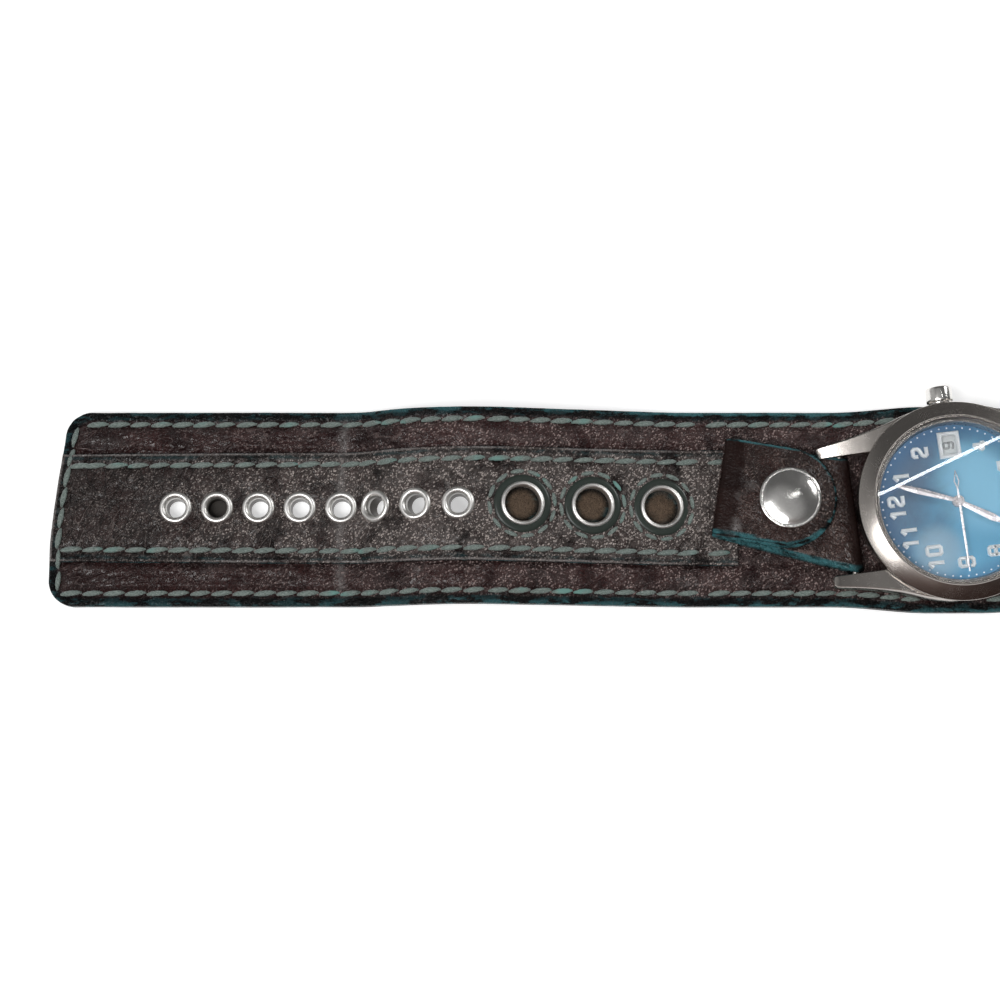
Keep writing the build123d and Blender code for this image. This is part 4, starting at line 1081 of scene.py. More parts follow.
bent(sheet(
    "buckle_lining_leather", along_marks(MID_PAD, MID_PAD + LINING_END_X, 0.8, False, True),
    LINING_ROWS, plain_lining_plan, on_strap, level(LINING_TOP), level(0.0), LINING, keeper_gap,
    lining_traits, (0,),
), 2, "lining_leather", "buckle_lining", "pad_lining")
bent(sheet(
    "buckle_cover_leather", along_marks(MID_PAD, COVER_END, STEP, False, True),
    outer_rows(PLAIN_ROWS, CUFF_HALF, 1.9), plain_lining_plan, on_cover, buckle_cover_height,
    buckle_cover_under, COVER, tongue_slot, cover_traits, (0,),
), 2, "wing_leather", "buckle_cover", "pad_cover")
bent(sheet(
    "buckle_strip_leather",
    along_marks(MID_PAD + STRIP_END_X, MID_PAD + LINING_END_X, STEP, True, True), STRIP_ROWS,
    plain_strip_plan, on_strap, by_x(strip_height), level(COVER_TOP), STRIP, None, strip_traits,
), 2, "strip_leather", "buckle_strip", "pad_strip_ends")


# ---- thread -------------------------------------------------------------------------

def twisted(length, thick, rise):
    """A plump length of thread, pointed where it dives into the leather at both ends."""
    sides, rings, sections = 8, 10, []
    for i in range(rings + 1):
        share = i / rings
        x = length * (share - 0.5)
        taper = max(sin(pi * min(max(share, 0.03), 0.97)), 0.0) ** 0.5
        taper *= 1.0 + 0.07 * sin(4 * 2 * pi * share)
        lift = rise * (1 - (2 * share - 1) ** 4) - 0.42 * abs(2 * share - 1) ** 7
        wide, high = 0.5 * thick * taper, 0.34 * thick * taper
        ways = [2 * pi * k / sides for k in range(sides)]
        sections.append([(x, wide * cos(way), high * sin(way) + lift) for way in ways])
    return skin(sections)


STITCH_RISE = 0.34
HEAD_CLEAR = 20.6


def lean_of(mark):
    """A small uneven turn of a stitch."""
    return radians(3.5) * soft(mark, 0.0, 2.0, 1.0, 81.0) + radians(6.0)


def clear_of_end(along, across):
    """The place of a stitch beside the row across the tail, or none if it has no room."""
    need = slant(across) + END_ROW + STITCH / 2 + 0.15
    if along >= need:
        return along
    return need if need - along < 0.55 * PITCH else None


def row_places(first, last):
    """Frames of the stitches along both edges and both sides of the strip."""
    places = []
    for mark in ROWS:
        if not first <= mark < last:
            continue
        for side in (1, -1):
            x = station(mark)[0]
            edge = side * (cuff_half(x) - EDGE_ROW)
            ahead = cuff_half(x + STITCH) - cuff_half(x - STITCH)
            lean = atan2(ahead, 2 * STITCH)
            along = clear_of_end(mark, edge)
            if along is not None and hypot(x, edge - 0.6) >= HEAD_CLEAR:
                height = cover_height(along, x, edge) + STITCH_RISE
                places.append(strap_place(along, height, edge, side * lean + lean_of(along)))
            across = side * (strip_half(x) - STRIP_ROW)
            along = clear_of_end(mark, across)
            if along is not None and abs(x) > STRIP_END_X + 2.0 and x < LINING_END_X - 2.0:
                height = strip_height(along, x, across) + STITCH_RISE
                places.append(strap_place(along, height, across, lean_of(along + 3.0)))
    return places


def tail_end_places():
    """Frames of the stitches across the slanted tail end, tilted where one meets the strip."""
    places = []
    edge_row = CUFF_HALF - EDGE_ROW
    for across in marks_between(-edge_row + 0.4 * STITCH, edge_row - 0.4 * STITCH, 4.2):
        along = END_ROW + slant(across)
        lean = pi / 2 - atan2(slant(across + 1) - slant(across - 1), 2.0) - radians(6.0)
        ends = []
        for step in (-STITCH * 0.35, STITCH * 0.35):
            at, x = across + step, station(along)[0]
            top = strip_height if abs(at) < strip_half(x) else cover_height
            ends.append(top(along, x, at) + STITCH_RISE)
        tilt = atan2(ends[1] - ends[0], STITCH * 0.9)
        place = strap_place(along, sum(ends) / 2, across, lean)
        places.append(place @ Matrix.Rotation(-tilt, 4, "Y"))
    return places


def ring_places(centre):
    """Frames of the stitches round a large eyelet."""
    places = []
    for n in range(12):
        turn = 2 * pi * (n + 0.3) / 12
        places.append(strap_place(
            centre + RING_ROW * cos(turn), STRIP_TOP + 0.10, RING_ROW * sin(turn), turn + pi / 2
        ))
    return places


long_stitch = pattern("long_stitch", [twisted(STITCH, 1.12, 0.16)])
short_stitch = pattern("short_stitch", [twisted(2.9, 0.84, 0.12)])

tail_rows = row_places(0.0, STRAP_SPLIT) + tail_end_places()
bent(scatter("tail_stitches", long_stitch, tail_rows, THREAD, 0.06, 3), 0, "thread", "tail_thread")
buckle_rows = row_places(MID_PAD, MID_PAD + LINING_END_X)
ring_rows = ring_places(LARGE_STATIONS[0]) + ring_places(LARGE_STATIONS[1])
bent(scatter("tail_ring_stitches", short_stitch, ring_rows, THREAD, 0.08, 5), 0, "thread")
bent(
    scatter("middle_stitches", long_stitch, row_places(STRAP_SPLIT, MID_PAD), THREAD, 0.06, 7),
    1, "thread", "mid_thread",
)
bent(
    scatter("middle_ring_stitches", short_stitch, ring_places(LARGE_STATIONS[2]), THREAD, 0.08, 9),
    1, "thread",
)
bent(
    scatter("buckle_stitches", long_stitch, buckle_rows, THREAD, 0.06, 11),
    2, "thread", "buckle_thread", "pad_thread",
)
drop(long_stitch, short_stitch)

# ---- eyelets ------------------------------------------------------------------------

small_shape = pattern("small_eyelet_shape", [lathe([
    (1.95, 0.02), (2.40, 0.02), (2.40, 3.80), (3.22, 3.80), (3.31, 3.92), (3.31, 4.08),
    (3.22, 4.30), (3.06, 4.48), (2.85, 4.60), (2.62, 4.62), (2.40, 4.54), (2.20, 4.36),
    (2.06, 4.10), (1.98, 3.75), (1.95, 3.3),
], 40)])
washer_shape = pattern("washer_shape", [lathe([
    (2.52, 0.0), (3.28, 0.0), (3.40, 0.10), (3.40, 0.30), (3.30, 0.40), (2.52, 0.40),
], 36)])
large_shape = pattern("large_eyelet_shape", [lathe([
    (3.52, 2.98), (3.92, 2.98), (3.92, 4.34), (4.32, 4.38), (4.43, 4.50), (4.43, 4.64),
    (4.34, 4.82), (4.16, 4.94), (3.96, 4.95), (3.76, 4.86), (3.62, 4.68), (3.54, 4.40),
], 56)])
ring_shape = pattern("leather_ring_shape", [lathe([
    (3.96, 3.95), (5.66, 3.95), (5.78, 4.02), (5.78, 4.14), (5.66, 4.28), (5.30, 4.40),
    (4.70, 4.44), (4.10, 4.38), (3.96, 4.30),
], 56)])
small_places = [strap_place(along, 0.0, 0.0, 0.4 * n) for n, along in enumerate(SMALL_STATIONS)]
large_places = [strap_place(along, 0.0, 0.0, 1.1 * n) for n, along in enumerate(LARGE_STATIONS)]
# Barrels inside the small eyelets, painted dark for the shade in them.
barrel_shape = pattern("barrel_shape", [lathe([
    (1.80, 0.30), (2.20, 0.30), (2.20, 3.70), (2.02, 3.70), (1.92, 2.6), (1.80, 1.2),
], 36)])
settle(scatter("eyelet_barrels", barrel_shape, small_places, BARREL_SHADE), "tail_strap", "nickel")
# A dark disc sits in one small eyelet, so that it reads dark instead of open.
plug_outline = [(0.0, 0.5), (2.15, 0.5), (2.15, 1.3), (1.2, 1.36), (0.0, 1.33)]
plug_shape = pattern("plug_shape", [lathe(plug_outline, 24)])
settle(
    scatter("unpunched_spot", plug_shape, [small_places[6]], DARK_DISC),
    "tail_strap", "lining_leather",
)
drop(barrel_shape, plug_shape)
settle(
    scatter("nickel_small_eyelets", small_shape, small_places, SOFT_NICKEL),
    "tail_strap", "nickel", "small_eyelets",
)
settle(
    scatter("nickel_washers", washer_shape, small_places, NICKEL),
    "tail_strap", "nickel", "small_eyelet_washers",
)
settle(
    scatter("nickel_large_eyelets", large_shape, large_places, SOFT_NICKEL),
    "mid_strap", "nickel", "large_eyelets",
)
settle(
    scatter("smooth_leather_rings", ring_shape, large_places, RING),
    "mid_strap", "ring_leather", "large_eyelet_rings",
)
drop(small_shape, washer_shape, large_shape, ring_shape)

# ---- snap tabs ----------------------------------------------------------------------

FLAP_HALF = 10.2
FLAP_STRAIGHT = 12.4
FOLD_R = 0.66
FOLD_ARC = FOLD_R * pi / 2
FLAP_MID_Z = 6.16


def flap_plan(mark, row):
    """Plan of the flap: straight sides and a round end."""
    y = row * FLAP_HALF
    reach = FOLD_ARC + FLAP_STRAIGHT + sqrt(max(FLAP_HALF ** 2 - y ** 2, 0.0))
    along = mark * reach
    x = along - FOLD_ARC
    inside = FLAP_HALF - (hypot(x - FLAP_STRAIGHT, y) if x > FLAP_STRAIGHT else abs(y))
    return along, y, max(inside, 0.0)


def on_flap(along, height, across):
    """A point of the flap in its own directions, round the fold and out to the tip."""
    if along < FOLD_ARC:
        turn = along / FOLD_R
        reach = FOLD_R + height
        return -reach * cos(turn), across, FLAP_MID_Z - FOLD_R + reach * sin(turn)
    return along - FOLD_ARC, across, FLAP_MID_Z + height


def flap_height(along, y, inside):
    """Top of the flap, padded round its cap."""
    off = hypot(along - FOLD_ARC - SNAP_REACH, y)
    pad = smooth(0.0, 3.2, inside) * smooth(5.8, 8.2, off) * smooth(0.0, 5.0, along)
    wrinkle = 0.16 * ridges(along, y, 3.5, 2.2, 91.0) + 0.16 * soft(along, y, 4.0, 3.0, 94.0)
    wrinkle *= smooth(1.0, 5.0, along)
    pucker = 0.07 * sin(9 * atan2(y, along - FOLD_ARC - SNAP_REACH + 0.01))
    pucker *= exp(-((off - 7.3) / 1.0) ** 2)
    free = smooth(0.3, 1.6, inside) * smooth(6.0, 7.2, off)
    return 0.60 - 0.10 * smooth(3.0, 0.5, along) + 0.55 * pad + (wrinkle + pucker) * free


def flap_traits(along, y, inside):
    """Painted edges, wide on the lower side, and a smooth fold with painted shade."""
    lower = smooth(-2.0, -7.0, y)
    wide = 0.45 + lower * (0.85 + 0.35 * smooth(14.0, 3.0, along))
    line = 0.9 * exp(-((inside - 0.62) / 0.14) ** 2) * lower
    by_fold = smooth(9.0, 4.0, along) * smooth(2.5, 4.5, along)
    return {
        "paint": smooth(wide, wide - 0.25, inside + 0.20 * soft(along, y, 2.0, 2.0, 97.0)),
        "dye": 0.60 + 0.50 * lower + 0.25 * smooth(6.0, 10.0, y) - line,
        "wear": 0.50 * smooth(0.10, 0.45, soft(along, y, 3.0, 2.6, 99.0)) * by_fold,
        # The fold is rubbed smooth, and it is darkened as painted shade on its steep side.
        "rubbed": 0.85 * smooth(4.6, 3.4, along + 0.4 * soft(along, y, 3.0, 4.0, 98.0)),
    }


extra_marks = [0.012, 0.033, 0.985, 0.992, 0.9965, 0.9985, 0.9995]
flap_marks = sorted(set(along_marks(0.0, 1.0, 0.022) + extra_marks))
flap_rows = across_rows(FLAP_HALF, 0.0, 0.42, 0.42)
base_fold = [FOLD @ Vector((0, side * FLAP_HALF, 0)) for side in (-1, 1)]
base_bar = [HEAD @ Vector((side * 11.6, 21.6, 0)) for side in (-1, 1)]
BASE_LENGTH = (base_bar[0] - base_fold[0]).length
base_marks = along_marks(0.0, BASE_LENGTH, 0.5)
base_marks += along_marks(BASE_LENGTH, BASE_LENGTH + 9.0, 0.35)[1:]


def base_plan(mark, row):
    """Plan of the tab's base, from the fold to the spring bar."""
    inside = FLAP_HALF * (1 - abs(row))
    return mark, row * FLAP_HALF, max(inside, 0.0)


def on_base(along, height, across):
    """A point of the tab's base, which runs to the spring bar and round it."""
    share = (across / FLAP_HALF + 1) / 2
    near = base_fold[0].lerp(base_fold[1], share)
    far = base_bar[0].lerp(base_bar[1], share)
    if along <= BASE_LENGTH:
        place = near.lerp(far, along / BASE_LENGTH)
        return place.x, place.y, height
    turn = (along - BASE_LENGTH) / 1.75
    way = HEAD.to_3x3() @ Vector((0, -1, 0))
    place = far + way * ((height - 4.75) * sin(turn))
    return place.x, place.y, 4.75 + (height - 4.75) * cos(turn)


def base_top(along, y, inside):
    """Top of the base, rising over the spring bar."""
    left = BASE_LENGTH - along
    rise = smooth(5.5, 0.4, left)
    lumps = 0.10 * soft(along, y, 4.0, 3.0, 111.0) * smooth(0.0, 2.0, left)
    return 5.34 + lumps + 1.16 * rise


def base_under(along, y, inside):
    """Underside of the base, stepping down off the end of the strip."""
    x = on_base(min(along, BASE_LENGTH), 0.0, y)[0]
    lift = smooth(2.0, 0.0, BASE_LENGTH - along)
    return (COVER_TOP + 0.02 + 1.32 * smooth(-42.9, -43.5, x)) * (1 - lift) + 5.62 * lift


def base_traits(along, y, inside):
    """Painted edges of the base, and painted shadow where it runs round the spring bar."""
    lower = smooth(-2.0, -7.0, y)
    wide = 0.40 + 0.85 * lower
    # Past the spring bar the leather is darkened and its edge paint turned black: painted shadow
    # under the case.
    past = smooth(BASE_LENGTH - 2.0, BASE_LENGTH + 1.0, along)
    return {
        "paint": smooth(wide, wide - 0.25, inside + 0.15 * soft(along, y, 2.0, 2.0, 96.0)),
        "dye": (0.45 + 0.60 * lower) * (1 - past), "rubbed": past,
    }


def half_roll(radius, low, high):
    """Part of the fold's roll, between two turns, closed along its axis."""
    turns = [low + (high - low) * k / 10 for k in range(11)]
    sections = []
    for row in across_rows(FLAP_HALF, 0.0, 1.2, 1.2):
        y = FLAP_HALF * row
        r = radius - roll(FLAP_HALF - abs(y), 0.42)
        sections.append(
            [(0.4, y, 5.45)] + [(-r * cos(turn), y, 5.45 + r * sin(turn)) for turn in turns]
        )
    return skin(sections)


def as_leather(piece, dye):
    """Lay the hide and the leather's stored values on a piece built without them."""
    mesh = piece.data
    hide = mesh.uv_layers.new(name="hide")
    for loop in mesh.loops:
        co = mesh.vertices[loop.vertex_index].co / MM
        hide.data[loop.index].uv = (co.x + co.z, co.y)
    for key in TRAITS:
        level_of = dye if key == "dye" else 0.0
        values = mesh.attributes.new(key, "FLOAT", "POINT")
        values.data.foreach_set("value", [level_of] * len(mesh.vertices))


CAP_PROFILE = [
    (0.0, 6.75), (6.05, 6.75), (6.22, 6.86), (6.26, 7.02), (6.18, 7.18), (6.00, 7.27),
    (5.80, 7.28), (5.62, 7.24), (5.40, 7.30), (4.90, 7.50), (4.20, 7.74), (3.30, 7.96),
    (2.20, 8.13), (1.10, 8.22), (0.0, 8.25),
]

for side, turned in (("long", Matrix.Identity(4)), ("short", OTHER_SIDE)):
    body = side + "_flap_body"

    def flap_spot(along, height, across, place=turned @ FOLD):
        return tuple(place @ Vector(on_flap(along, height, across)))

    def base_spot(along, height, across, place=turned):
        return tuple(place @ Vector(on_base(along, height, across)))

    flap = sheet(
        side + "_flap_leather", flap_marks, flap_rows, flap_plan, flap_spot,
        flap_height, level(-0.60), TAB, None, flap_traits, (), 0.46,
    )
    settle(flap, body, "tab_leather", side + "_flap")
    base = sheet(
        side + "_base_leather", base_marks, flap_rows, base_plan, base_spot,
        base_top, base_under, TAB, None, base_traits, (0, 1), 0.46,
    )
    settle(base, "head", "tab_leather", side + "_tab_base")
    under_roll = solid(side + "_fold_roll", [half_roll(1.33, -pi / 2, -0.01)], TAB, turned @ FOLD)
    as_leather(under_roll, 0.4)
    settle(under_roll, "head", "tab_leather")
    cap = solid(
        side + "_domed_cap", [lathe(CAP_PROFILE, 72)], NICKEL,
        turned @ FOLD @ Matrix.Translation((SNAP_REACH, 0, 0)), 50.0,
    )
    settle(cap, body, "nickel", side + "_snap_cap")


# ---- watch head ---------------------------------------------------------------------

settle(tidy_copy("case", "steel_case", STEEL, 0.35), "head", "steel", "case")
settle(solid("steel_bezel", [lathe([
    (15.90, 9.20), (19.92, 9.20), (20.02, 9.28), (20.04, 9.66), (19.98, 9.80), (19.86, 9.90),
    (17.15, 11.16), (17.06, 11.28), (16.86, 11.30), (16.62, 11.28), (16.50, 11.20),
    (16.48, 11.10), (16.74, 11.09), (17.16, 11.09), (17.16, 9.60), (15.90, 9.60),
], 180)], CONE, HEAD, 24.0), "head", "steel", "bezel")

CASE_R = 17.3
LUG_INSIDE = 11.92
LUG_RUN = [
    (2.0, 19.6, 9.18), (4.0, 19.5, 9.18), (6.5, 19.0, 9.18), (9.0, 18.3, 9.18),
    (11.5, 17.4, 9.18), (14.0, 16.6, 9.12), (17.0, 15.85, 8.60), (20.0, 15.2, 7.95),
    (23.0, 14.68, 7.25), (25.0, 14.38, 6.75), (25.9, 14.2, 6.45), (26.3, 13.9, 6.1),
]


def lug():
    """One lug: straight inside, swinging into the case outside, sloping down to its tip."""
    sections = []
    for y, out, top in LUG_RUN:
        near = 12.2 if y > 26.0 else max(LUG_INSIDE, sqrt(max(CASE_R ** 2 - y ** 2, 0.0)))
        low = 3.26 if y < 25.5 else 3.6
        sections.append([(x, y, z) for x, z in (
            (near, low), (out, low), (out, top - 0.28), (out - 0.10, top - 0.07),
            (out - 0.28, top), (near + 0.14, top - 0.40), (near, top - 0.56),
        )])
    return skin(sections)


LUG_SIDES = [Matrix.Diagonal((x, y, 1, 1)) for x in (1, -1) for y in (1, -1)]
four_lugs = [moved(lug(), flip) for flip in LUG_SIDES]
settle(solid("steel_lugs", four_lugs, CONE, HEAD, 26.0), "head", "steel")
glass_radii = [16.65 * n / 12 for n in range(13)]
glass_points = [(radius, 11.45 - 0.38 * (radius / 16.7) ** 2) for radius in glass_radii]
settle(solid("domed_crystal", [lathe(
    [(0.0, 9.62), (16.55, 9.62), (16.70, 9.77), (16.70, 10.95)] + glass_points[::-1], 120
)], GLASS, HEAD, 40.0), "head", "crystal_glass", "crystal")
settle(solid("dial_flange", [lathe([
    (15.52, 7.62), (16.62, 7.62), (16.68, 7.70), (16.68, 9.12), (16.60, 9.18), (15.98, 9.18),
], 120)], REFLECTOR, HEAD), "head", "steel", "dial_ring")


CROWN_PLACE = HEAD @ Matrix.Translation((20.1, 0, 6.05)) @ Matrix.Rotation(pi / 2, 4, "Y")
settle(solid("smooth_crown", [lathe([
    (1.60, 0.0), (2.20, 0.0), (2.30, 0.12), (2.34, 0.50), (2.55, 0.62), (2.68, 0.85),
    (2.70, 1.20), (2.70, 3.10), (2.66, 3.42), (2.52, 3.62), (2.28, 3.72), (1.30, 3.80),
    (0.0, 3.82), (0.0, 1.5), (1.60, 1.5),
], 96)], NICKEL, CROWN_PLACE, 35.0), "crown_and_stem", "steel", "crown")

# Numerals as raised squarish strokes with a groove down the middle
STROKES = {
    "0": [[(0, 0), (1, 0), (1, 1), (0, 1), (0, 0)]],
    "1": [[(0.15, 0.78), (0.6, 1), (0.6, 0)]],
    "2": [[(0, 0.74), (0, 1), (1, 1), (1, 0.56), (0, 0.30), (0, 0), (1, 0)]],
    "4": [[(0.72, 0), (0.72, 1), (0, 0.32), (1, 0.32)]],
    "5": [[(1, 1), (0, 1), (0, 0.54), (1, 0.54), (1, 0), (0, 0), (0, 0.16)]],
    "6": [[(1, 0.86), (1, 1), (0, 1), (0, 0), (1, 0), (1, 0.54), (0, 0.54)]],
    "7": [[(0, 1), (1, 1), (0.4, 0)]],
    "8": [[(0, 0), (1, 0), (1, 1), (0, 1), (0, 0)], [(0.05, 0.52), (0.95, 0.52)]],
    "9": [[(0, 0.14), (0, 0), (1, 0), (1, 1), (0, 1), (0, 0.46), (1, 0.46)]],
}
NUMERAL_R = 12.2
DOT_R = 14.95
DIAL_TOP = 7.6
DIGIT = (1.55, 2.75)


def stroke(line, z, wide, high):
    """A raised stroke along a line of points, with bevelled sides and a fine groove."""
    closed = line[0] == line[-1]
    spots = [Vector((x, y)) for x, y in (line[:-1] if closed else line)]
    profile = [
        (-0.5, 0.0), (-0.5, 0.5), (-0.40, 1.0), (-0.27, 1.0), (-0.16, 0.2), (0.16, 0.2),
        (0.27, 1.0), (0.40, 1.0), (0.5, 0.5), (0.5, 0.0),
    ]
    sections, count = [], len(spots)
    for i, spot in enumerate(spots):
        back = spots[i - 1] if closed or i else None
        ahead = spots[(i + 1) % count] if closed or i < count - 1 else None
        before = (spot - back).normalized() if back is not None else (ahead - spot).normalized()
        after = (ahead - spot).normalized() if ahead is not None else before
        side = Vector((-(before + after).y, (before + after).x)).normalized()
        reach = 1.0 / max(side.dot(Vector((-before.y, before.x))), 0.45)
        push = Vector((0, 0))
        if back is None:
            push = -after * wide * 0.35
        if ahead is None:
            push = before * wide * 0.35
        reached = side * wide * reach
        sections.append([
            (*(spot + push + reached * off), z + lift * high) for off, lift in profile
        ])
    return skin(sections, closed)


def cut_corners(line, amount=0.30):
    """The same line with its corners cut off."""
    closed = line[0] == line[-1]
    spots = [Vector(spot) for spot in line]
    made = []
    count = len(spots) - 1 if closed else len(spots)
    for i in range(count):
        here = spots[i]
        if not closed and i in (0, count - 1):
            made.append(here)
            continue
        back = spots[i - 1] if i else spots[-2]
        ahead = spots[i + 1]
        for other in (back, ahead):
            way = other - here
            made.append(here + way.normalized() * min(amount, way.length * 0.4))
    if closed:
        made.append(made[0])
    return [tuple(spot) for spot in made]


def digit_at(name, x, y, z, wide=0.80, high=0.36, size=DIGIT):
    """The strokes of one digit, centred."""
    made = []
    for line in STROKES[name]:
        placed = [(x + (u - 0.5) * size[0], y + (v - 0.5) * size[1]) for u, v in line]
        made.append(stroke(cut_corners(placed, 0.18 * size[0]), z, wide, high))
    return made


def numerals():
    """All hours but the third, which is the date window."""
    made = []
    for hour in (1, 2, 4, 5, 6, 7, 8, 9, 10, 11, 12):
        turn = 2 * pi * hour / 12
        text = str(hour)
        step = 2.6
        first = NUMERAL_R * sin(turn) - step * (len(text) - 1) / 2
        for n, name in enumerate(text):
            made += digit_at(name, first + n * step, NUMERAL_R * cos(turn), DIAL_TOP)
    return made


date_corners = [(9.24, -1.78), (13.76, -1.78), (13.76, 1.78), (9.24, 1.78), (9.24, -1.78)]
date_frame = stroke(date_corners, DIAL_TOP, 0.90, 0.34)
settle(
    solid("silver_numerals", numerals() + [date_frame], SILVER, HEAD, 20.0),
    "head", "marker_silver", "dial_markers",
)
settle(
    solid("date_figure", digit_at("9", 11.5, 0.0, 7.04, 0.34, 0.03, (1.15, 1.9)), INK, HEAD),
    "date", "date_plastic",
)

dot_outline = [(0.0, 0.0), (0.17, 0.0), (0.17, 0.05), (0.10, 0.09), (0.0, 0.10)]
dot = pattern("minute_dot_shape", [lathe(dot_outline, 10)])
dot_places = []
for n in range(60):
    turn = 2 * pi * n / 60
    place = (DOT_R * sin(turn), DOT_R * cos(turn), DIAL_TOP)
    dot_places.append(HEAD @ Matrix.Translation(place))
settle(scatter("minute_dots", dot, dot_places, SILVER), "head", "marker_silver")
drop(dot)


def blade(stations, z, thick, ridge):
    """A hand pointing to 12: half widths along its length, with a raised rib."""
    sections = []
    for y, half in stations:
        side, top = z + thick * 0.55, z + thick + ridge * min(half / 0.3, 1.0)
        sections.append([
            (-half, y, z), (-half, y, side), (0.0, y, top), (half, y, side), (half, y, z),
        ])
    return skin(sections)


def bored(outer, inner, low, high, edge=0.05):
    """A short tube with softened corners."""
    return lathe([
        (inner, low), (outer - edge, low), (outer, low + edge), (outer, high - edge),
        (outer - edge, high), (inner, high),
    ], 40)


def at_time(share):
    """The head's frame turned clockwise by a share of the full round."""
    return HEAD @ Matrix.Rotation(-2 * pi * share, 4, "Z")


minutes, hours, seconds = 3.4, 7.0, 45.0
settle(solid("hour_pointer", [
    blade([(-0.2, 0.42), (1.2, 0.50), (7.4, 0.76), (9.0, 0.46), (10.0, 0.05)], 8.05, 0.16, 0.10),
    bored(1.15, 0.67, 8.0, 8.28), bored(1.0, 0.67, 6.95, 8.06), bored(3.4, 0.67, 6.95, 7.15),
], HANDS, at_time((hours + minutes / 60) / 12), 18.0), "hour", "hand_silver", "hour_hand")
settle(solid("minute_pointer", [
    blade([(-0.2, 0.36), (1.2, 0.42), (8.0, 0.64), (11.4, 0.42), (12.6, 0.04)], 8.55, 0.15, 0.10),
    bored(1.12, 0.27, 8.5, 8.78), bored(0.6, 0.27, 6.55, 8.56), bored(0.95, 0.27, 6.55, 6.75),
], HANDS, at_time(minutes / 60), 18.0), "minute", "hand_silver", "minute_hand")
lozenge = [(0.0, -2.4), (0.46, -3.9), (0.0, -6.0), (-0.46, -3.9), (0.0, -2.4)]
settle(solid("second_pointer", [
    blade([(-2.6, 0.16), (0.0, 0.24), (9.0, 0.23), (14.2, 0.10)], 9.05, 0.10, 0.05),
    stroke(lozenge, 9.05, 0.24, 0.14), bored(0.58, 0.02, 9.0, 9.22),
    lathe([(0.0, 5.4), (0.2, 5.4), (0.2, 9.1), (0.0, 9.1)], 16),
], HANDS, at_time(seconds / 60), 18.0), "second", "hand_silver", "second_hand")

# ---- buckle end ---------------------------------------------------------------------

for node, name, bevel, body in (
    ("buckle_frame", "nickel_buckle_frame", 0.0, "buckle"),
    ("buckle_tongue", "nickel_tongue", 0.3, "tongue"),
):
    settle(tidy_copy(node, name, NICKEL, bevel), body, "steel", node)

KEEPER_HALF = 20.55
KEEPER_LOW, KEEPER_HIGH, KEEPER_R = 0.65, 9.55, 2.1
keeper_turn = (KEEPER_R * pi / 2, pi / 2)
keeper_side = (KEEPER_HIGH - KEEPER_LOW - 2 * KEEPER_R, 0.0)
keeper_end = (KEEPER_HALF - KEEPER_R, 0.0)
KEEPER_RUNS = [
    keeper_end, keeper_turn, keeper_side, keeper_turn, (2 * keeper_end[0], 0.0),
    keeper_turn, keeper_side, keeper_turn, keeper_end,
]
KEEPER_ROUND = sum(length for length, turn in KEEPER_RUNS)


def on_keeper(along, height, across):
    """A point of the keeper, round the cuff; the height is out of the loop."""
    y, z, heading, rest = walk(KEEPER_RUNS, along, 0.0, KEEPER_LOW)
    return KEEPER_X + across, y + height * sin(heading), z - height * cos(heading)


def keeper_plan(mark, row):
    """Plan of the keeper's strip of leather."""
    return mark, row * 2.5, max(2.5 * (1 - abs(row)), 0.0)


def keeper_traits(along, y, inside):
    """Painted edges of the keeper."""
    return {"paint": smooth(0.6, 0.2, inside), "dye": 0.75}


def keeper_top(along, y, inside):
    """Outside of the keeper, slightly crowned."""
    return 0.60 + 0.06 * smooth(0.3, 2.0, inside) + 0.04 * soft(along, y, 4.0, 2.0, 121.0)


settle(sheet(
    "keeper_leather", along_marks(0.0, KEEPER_ROUND, 0.5), across_rows(2.5, 0.0, 0.4, 0.4),
    keeper_plan, on_keeper, keeper_top, level(-0.62), TAB, None, keeper_traits, (0, 1), 0.35,
), "buckle_strap", "tab_leather", "keeper")

# ---- pieces that stay as the part has them ------------------------------------------

for row in frame["record"]["subparts"]:
    nodes[row["node"]].data.materials.clear()
    nodes[row["node"]].data.materials.append(SLOT_FINISH[row["material_slot"]])

# ---- floor, light and camera --------------------------------------------------------

FLOOR_HALF = 2500.0
FLOOR_GLOW = 0.50


def floor_finish():
    """A pale floor that reads as white, and keeps the object's shadow."""
    finish, work, shader = start_finish("pale_floor")
    shader.inputs["Base Color"].default_value = (0.80, 0.80, 0.80, 1.0)
    shader.inputs["Roughness"].default_value = 0.9
    shader.inputs["Specular IOR Level"].default_value = 0.0
    ray = work.put("ShaderNodeLightPath").outputs
    seen = work.most(ray["Is Camera Ray"], ray["Is Glossy Ray"])
    seen = work.most(seen, ray["Is Transmission Ray"])
    shader.inputs["Emission Color"].default_value = (1.0, 1.0, 1.0, 1.0)
    work.feed(shader.inputs["Emission Strength"], work.times(seen, FLOOR_GLOW))
    return finish


mesh = bpy.data.meshes.new("floor")
floor_corners = [(x * FLOOR_HALF, y * FLOOR_HALF) for x, y in ((-1, -1), (1, -1), (1, 1), (-1, 1))]
mesh.from_pydata([(x * MM, y * MM, -0.03 * MM) for x, y in floor_corners], [], [(0, 1, 2, 3)])
mesh.materials.append(floor_finish())
show("floor", mesh)


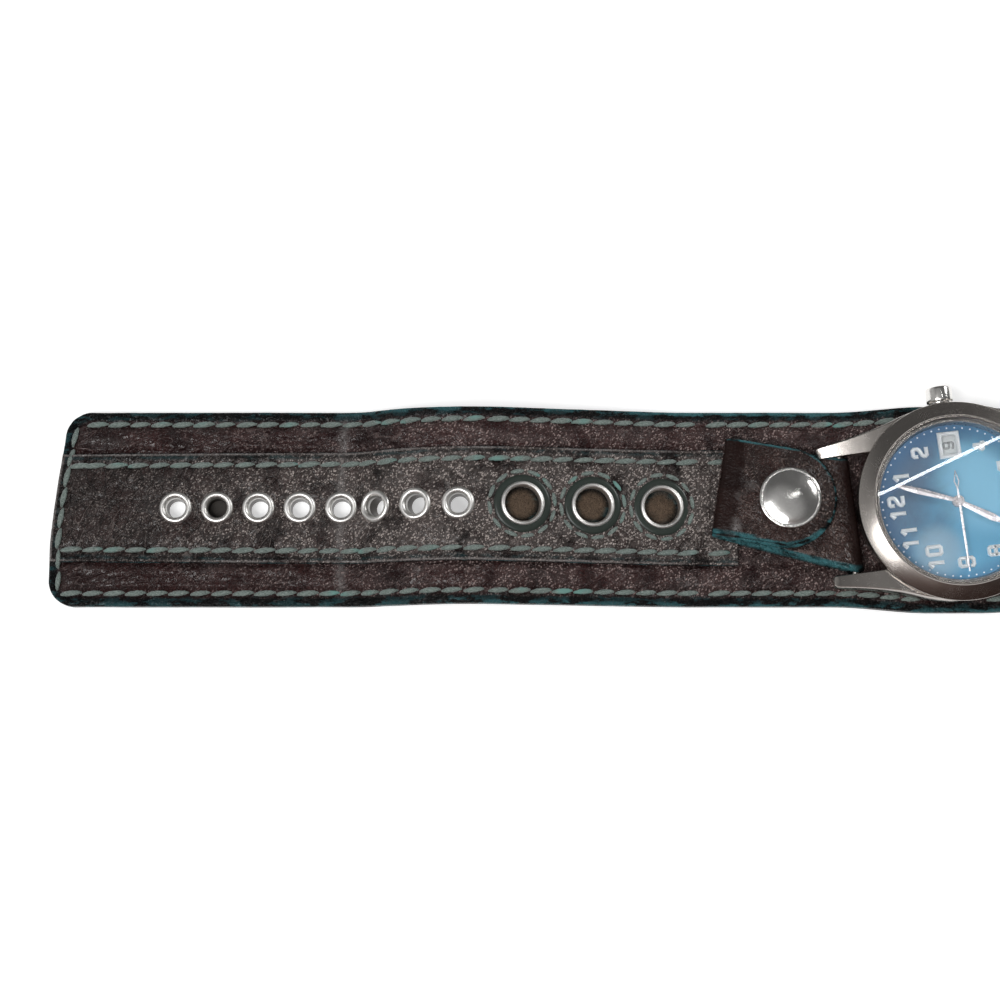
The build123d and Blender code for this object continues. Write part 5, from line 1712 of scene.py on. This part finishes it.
def lamp(name, place, target, size, power, colour=(1.0, 1.0, 1.0)):
    """A soft rectangular lamp that faces its target."""
    light = bpy.data.lights.new(name, "AREA")
    light.shape = "RECTANGLE"
    light.size, light.size_y = size[0] * MM, size[1] * MM
    light.energy = power
    light.color = colour
    holder = bpy.data.objects.new(name, light)
    bpy.context.scene.collection.objects.link(holder)
    start, end = Vector(place) * MM, Vector(target) * MM
    holder.location = start
    holder.rotation_euler = (end - start).to_track_quat("-Z", "Y").to_euler()
    return holder


lamp("left_window", (-487, -260, 755), (-70, 0, 0), (300, 300), 2.7)
lamp("right_window", (600, 400, 430), (-60, 0, 0), (240, 240), 2.6)
lamp("near_strip", (-262, -244, 850), (-33, 2, 0), (640, 55), 2.4)
line_lamp = lamp("line_strip", (177.0, 196.4, 900.0), (177.0, 196.4, 0.0), (260.0, 5.0), 0.085)
line_lamp.rotation_euler = (0.0, 0.0, radians(26.3))


def sky():
    """Soft even light, brighter above and on the near left, with a warm dark room below."""
    world = bpy.data.worlds.new("studio")
    bpy.context.scene.world = world
    world.use_nodes = True
    work = Workings(world.node_tree)
    way = work.put("ShaderNodeTexCoord").outputs["Generated"]
    near = work.put("ShaderNodeVectorMath", {"operation": "DOT_PRODUCT"}, Vector=way)
    near.inputs[1].default_value = (-0.16, -0.24, 0.957)
    x, y = work.parts(way)
    left = work.spread(x, -0.50, -0.88, 0.0, 0.30)
    high = work.spread(near.outputs["Value"], 0.70, 0.97, 0.12, 0.36)
    room = work.spread(y, -0.35, -0.70)
    shell = work.tree.nodes["Background"]
    work.feed(shell.inputs["Color"], work.mix(room, (1.0, 1.0, 1.0), (0.42, 0.24, 0.20)))
    work.feed(shell.inputs["Strength"], work.plus(high, left))


sky()

AIM = Vector((-91.4, 2.2, 0.0))
ELEVATION = radians(81.0)
DISTANCE = 400.0
eye = AIM + DISTANCE * Vector((0.0, -cos(ELEVATION), sin(ELEVATION)))
lens = bpy.data.cameras.new("photo_camera")
lens.lens = 70.6
lens.sensor_width = 36.0
lens.clip_start = 0.01
camera = bpy.data.objects.new("photo_camera", lens)
bpy.context.scene.collection.objects.link(camera)
camera.location = eye * MM
camera.rotation_euler = (pi / 2 - ELEVATION, 0.0, 0.0)
bpy.context.scene.camera = camera
bpy.context.scene.view_settings.view_transform = "Standard"
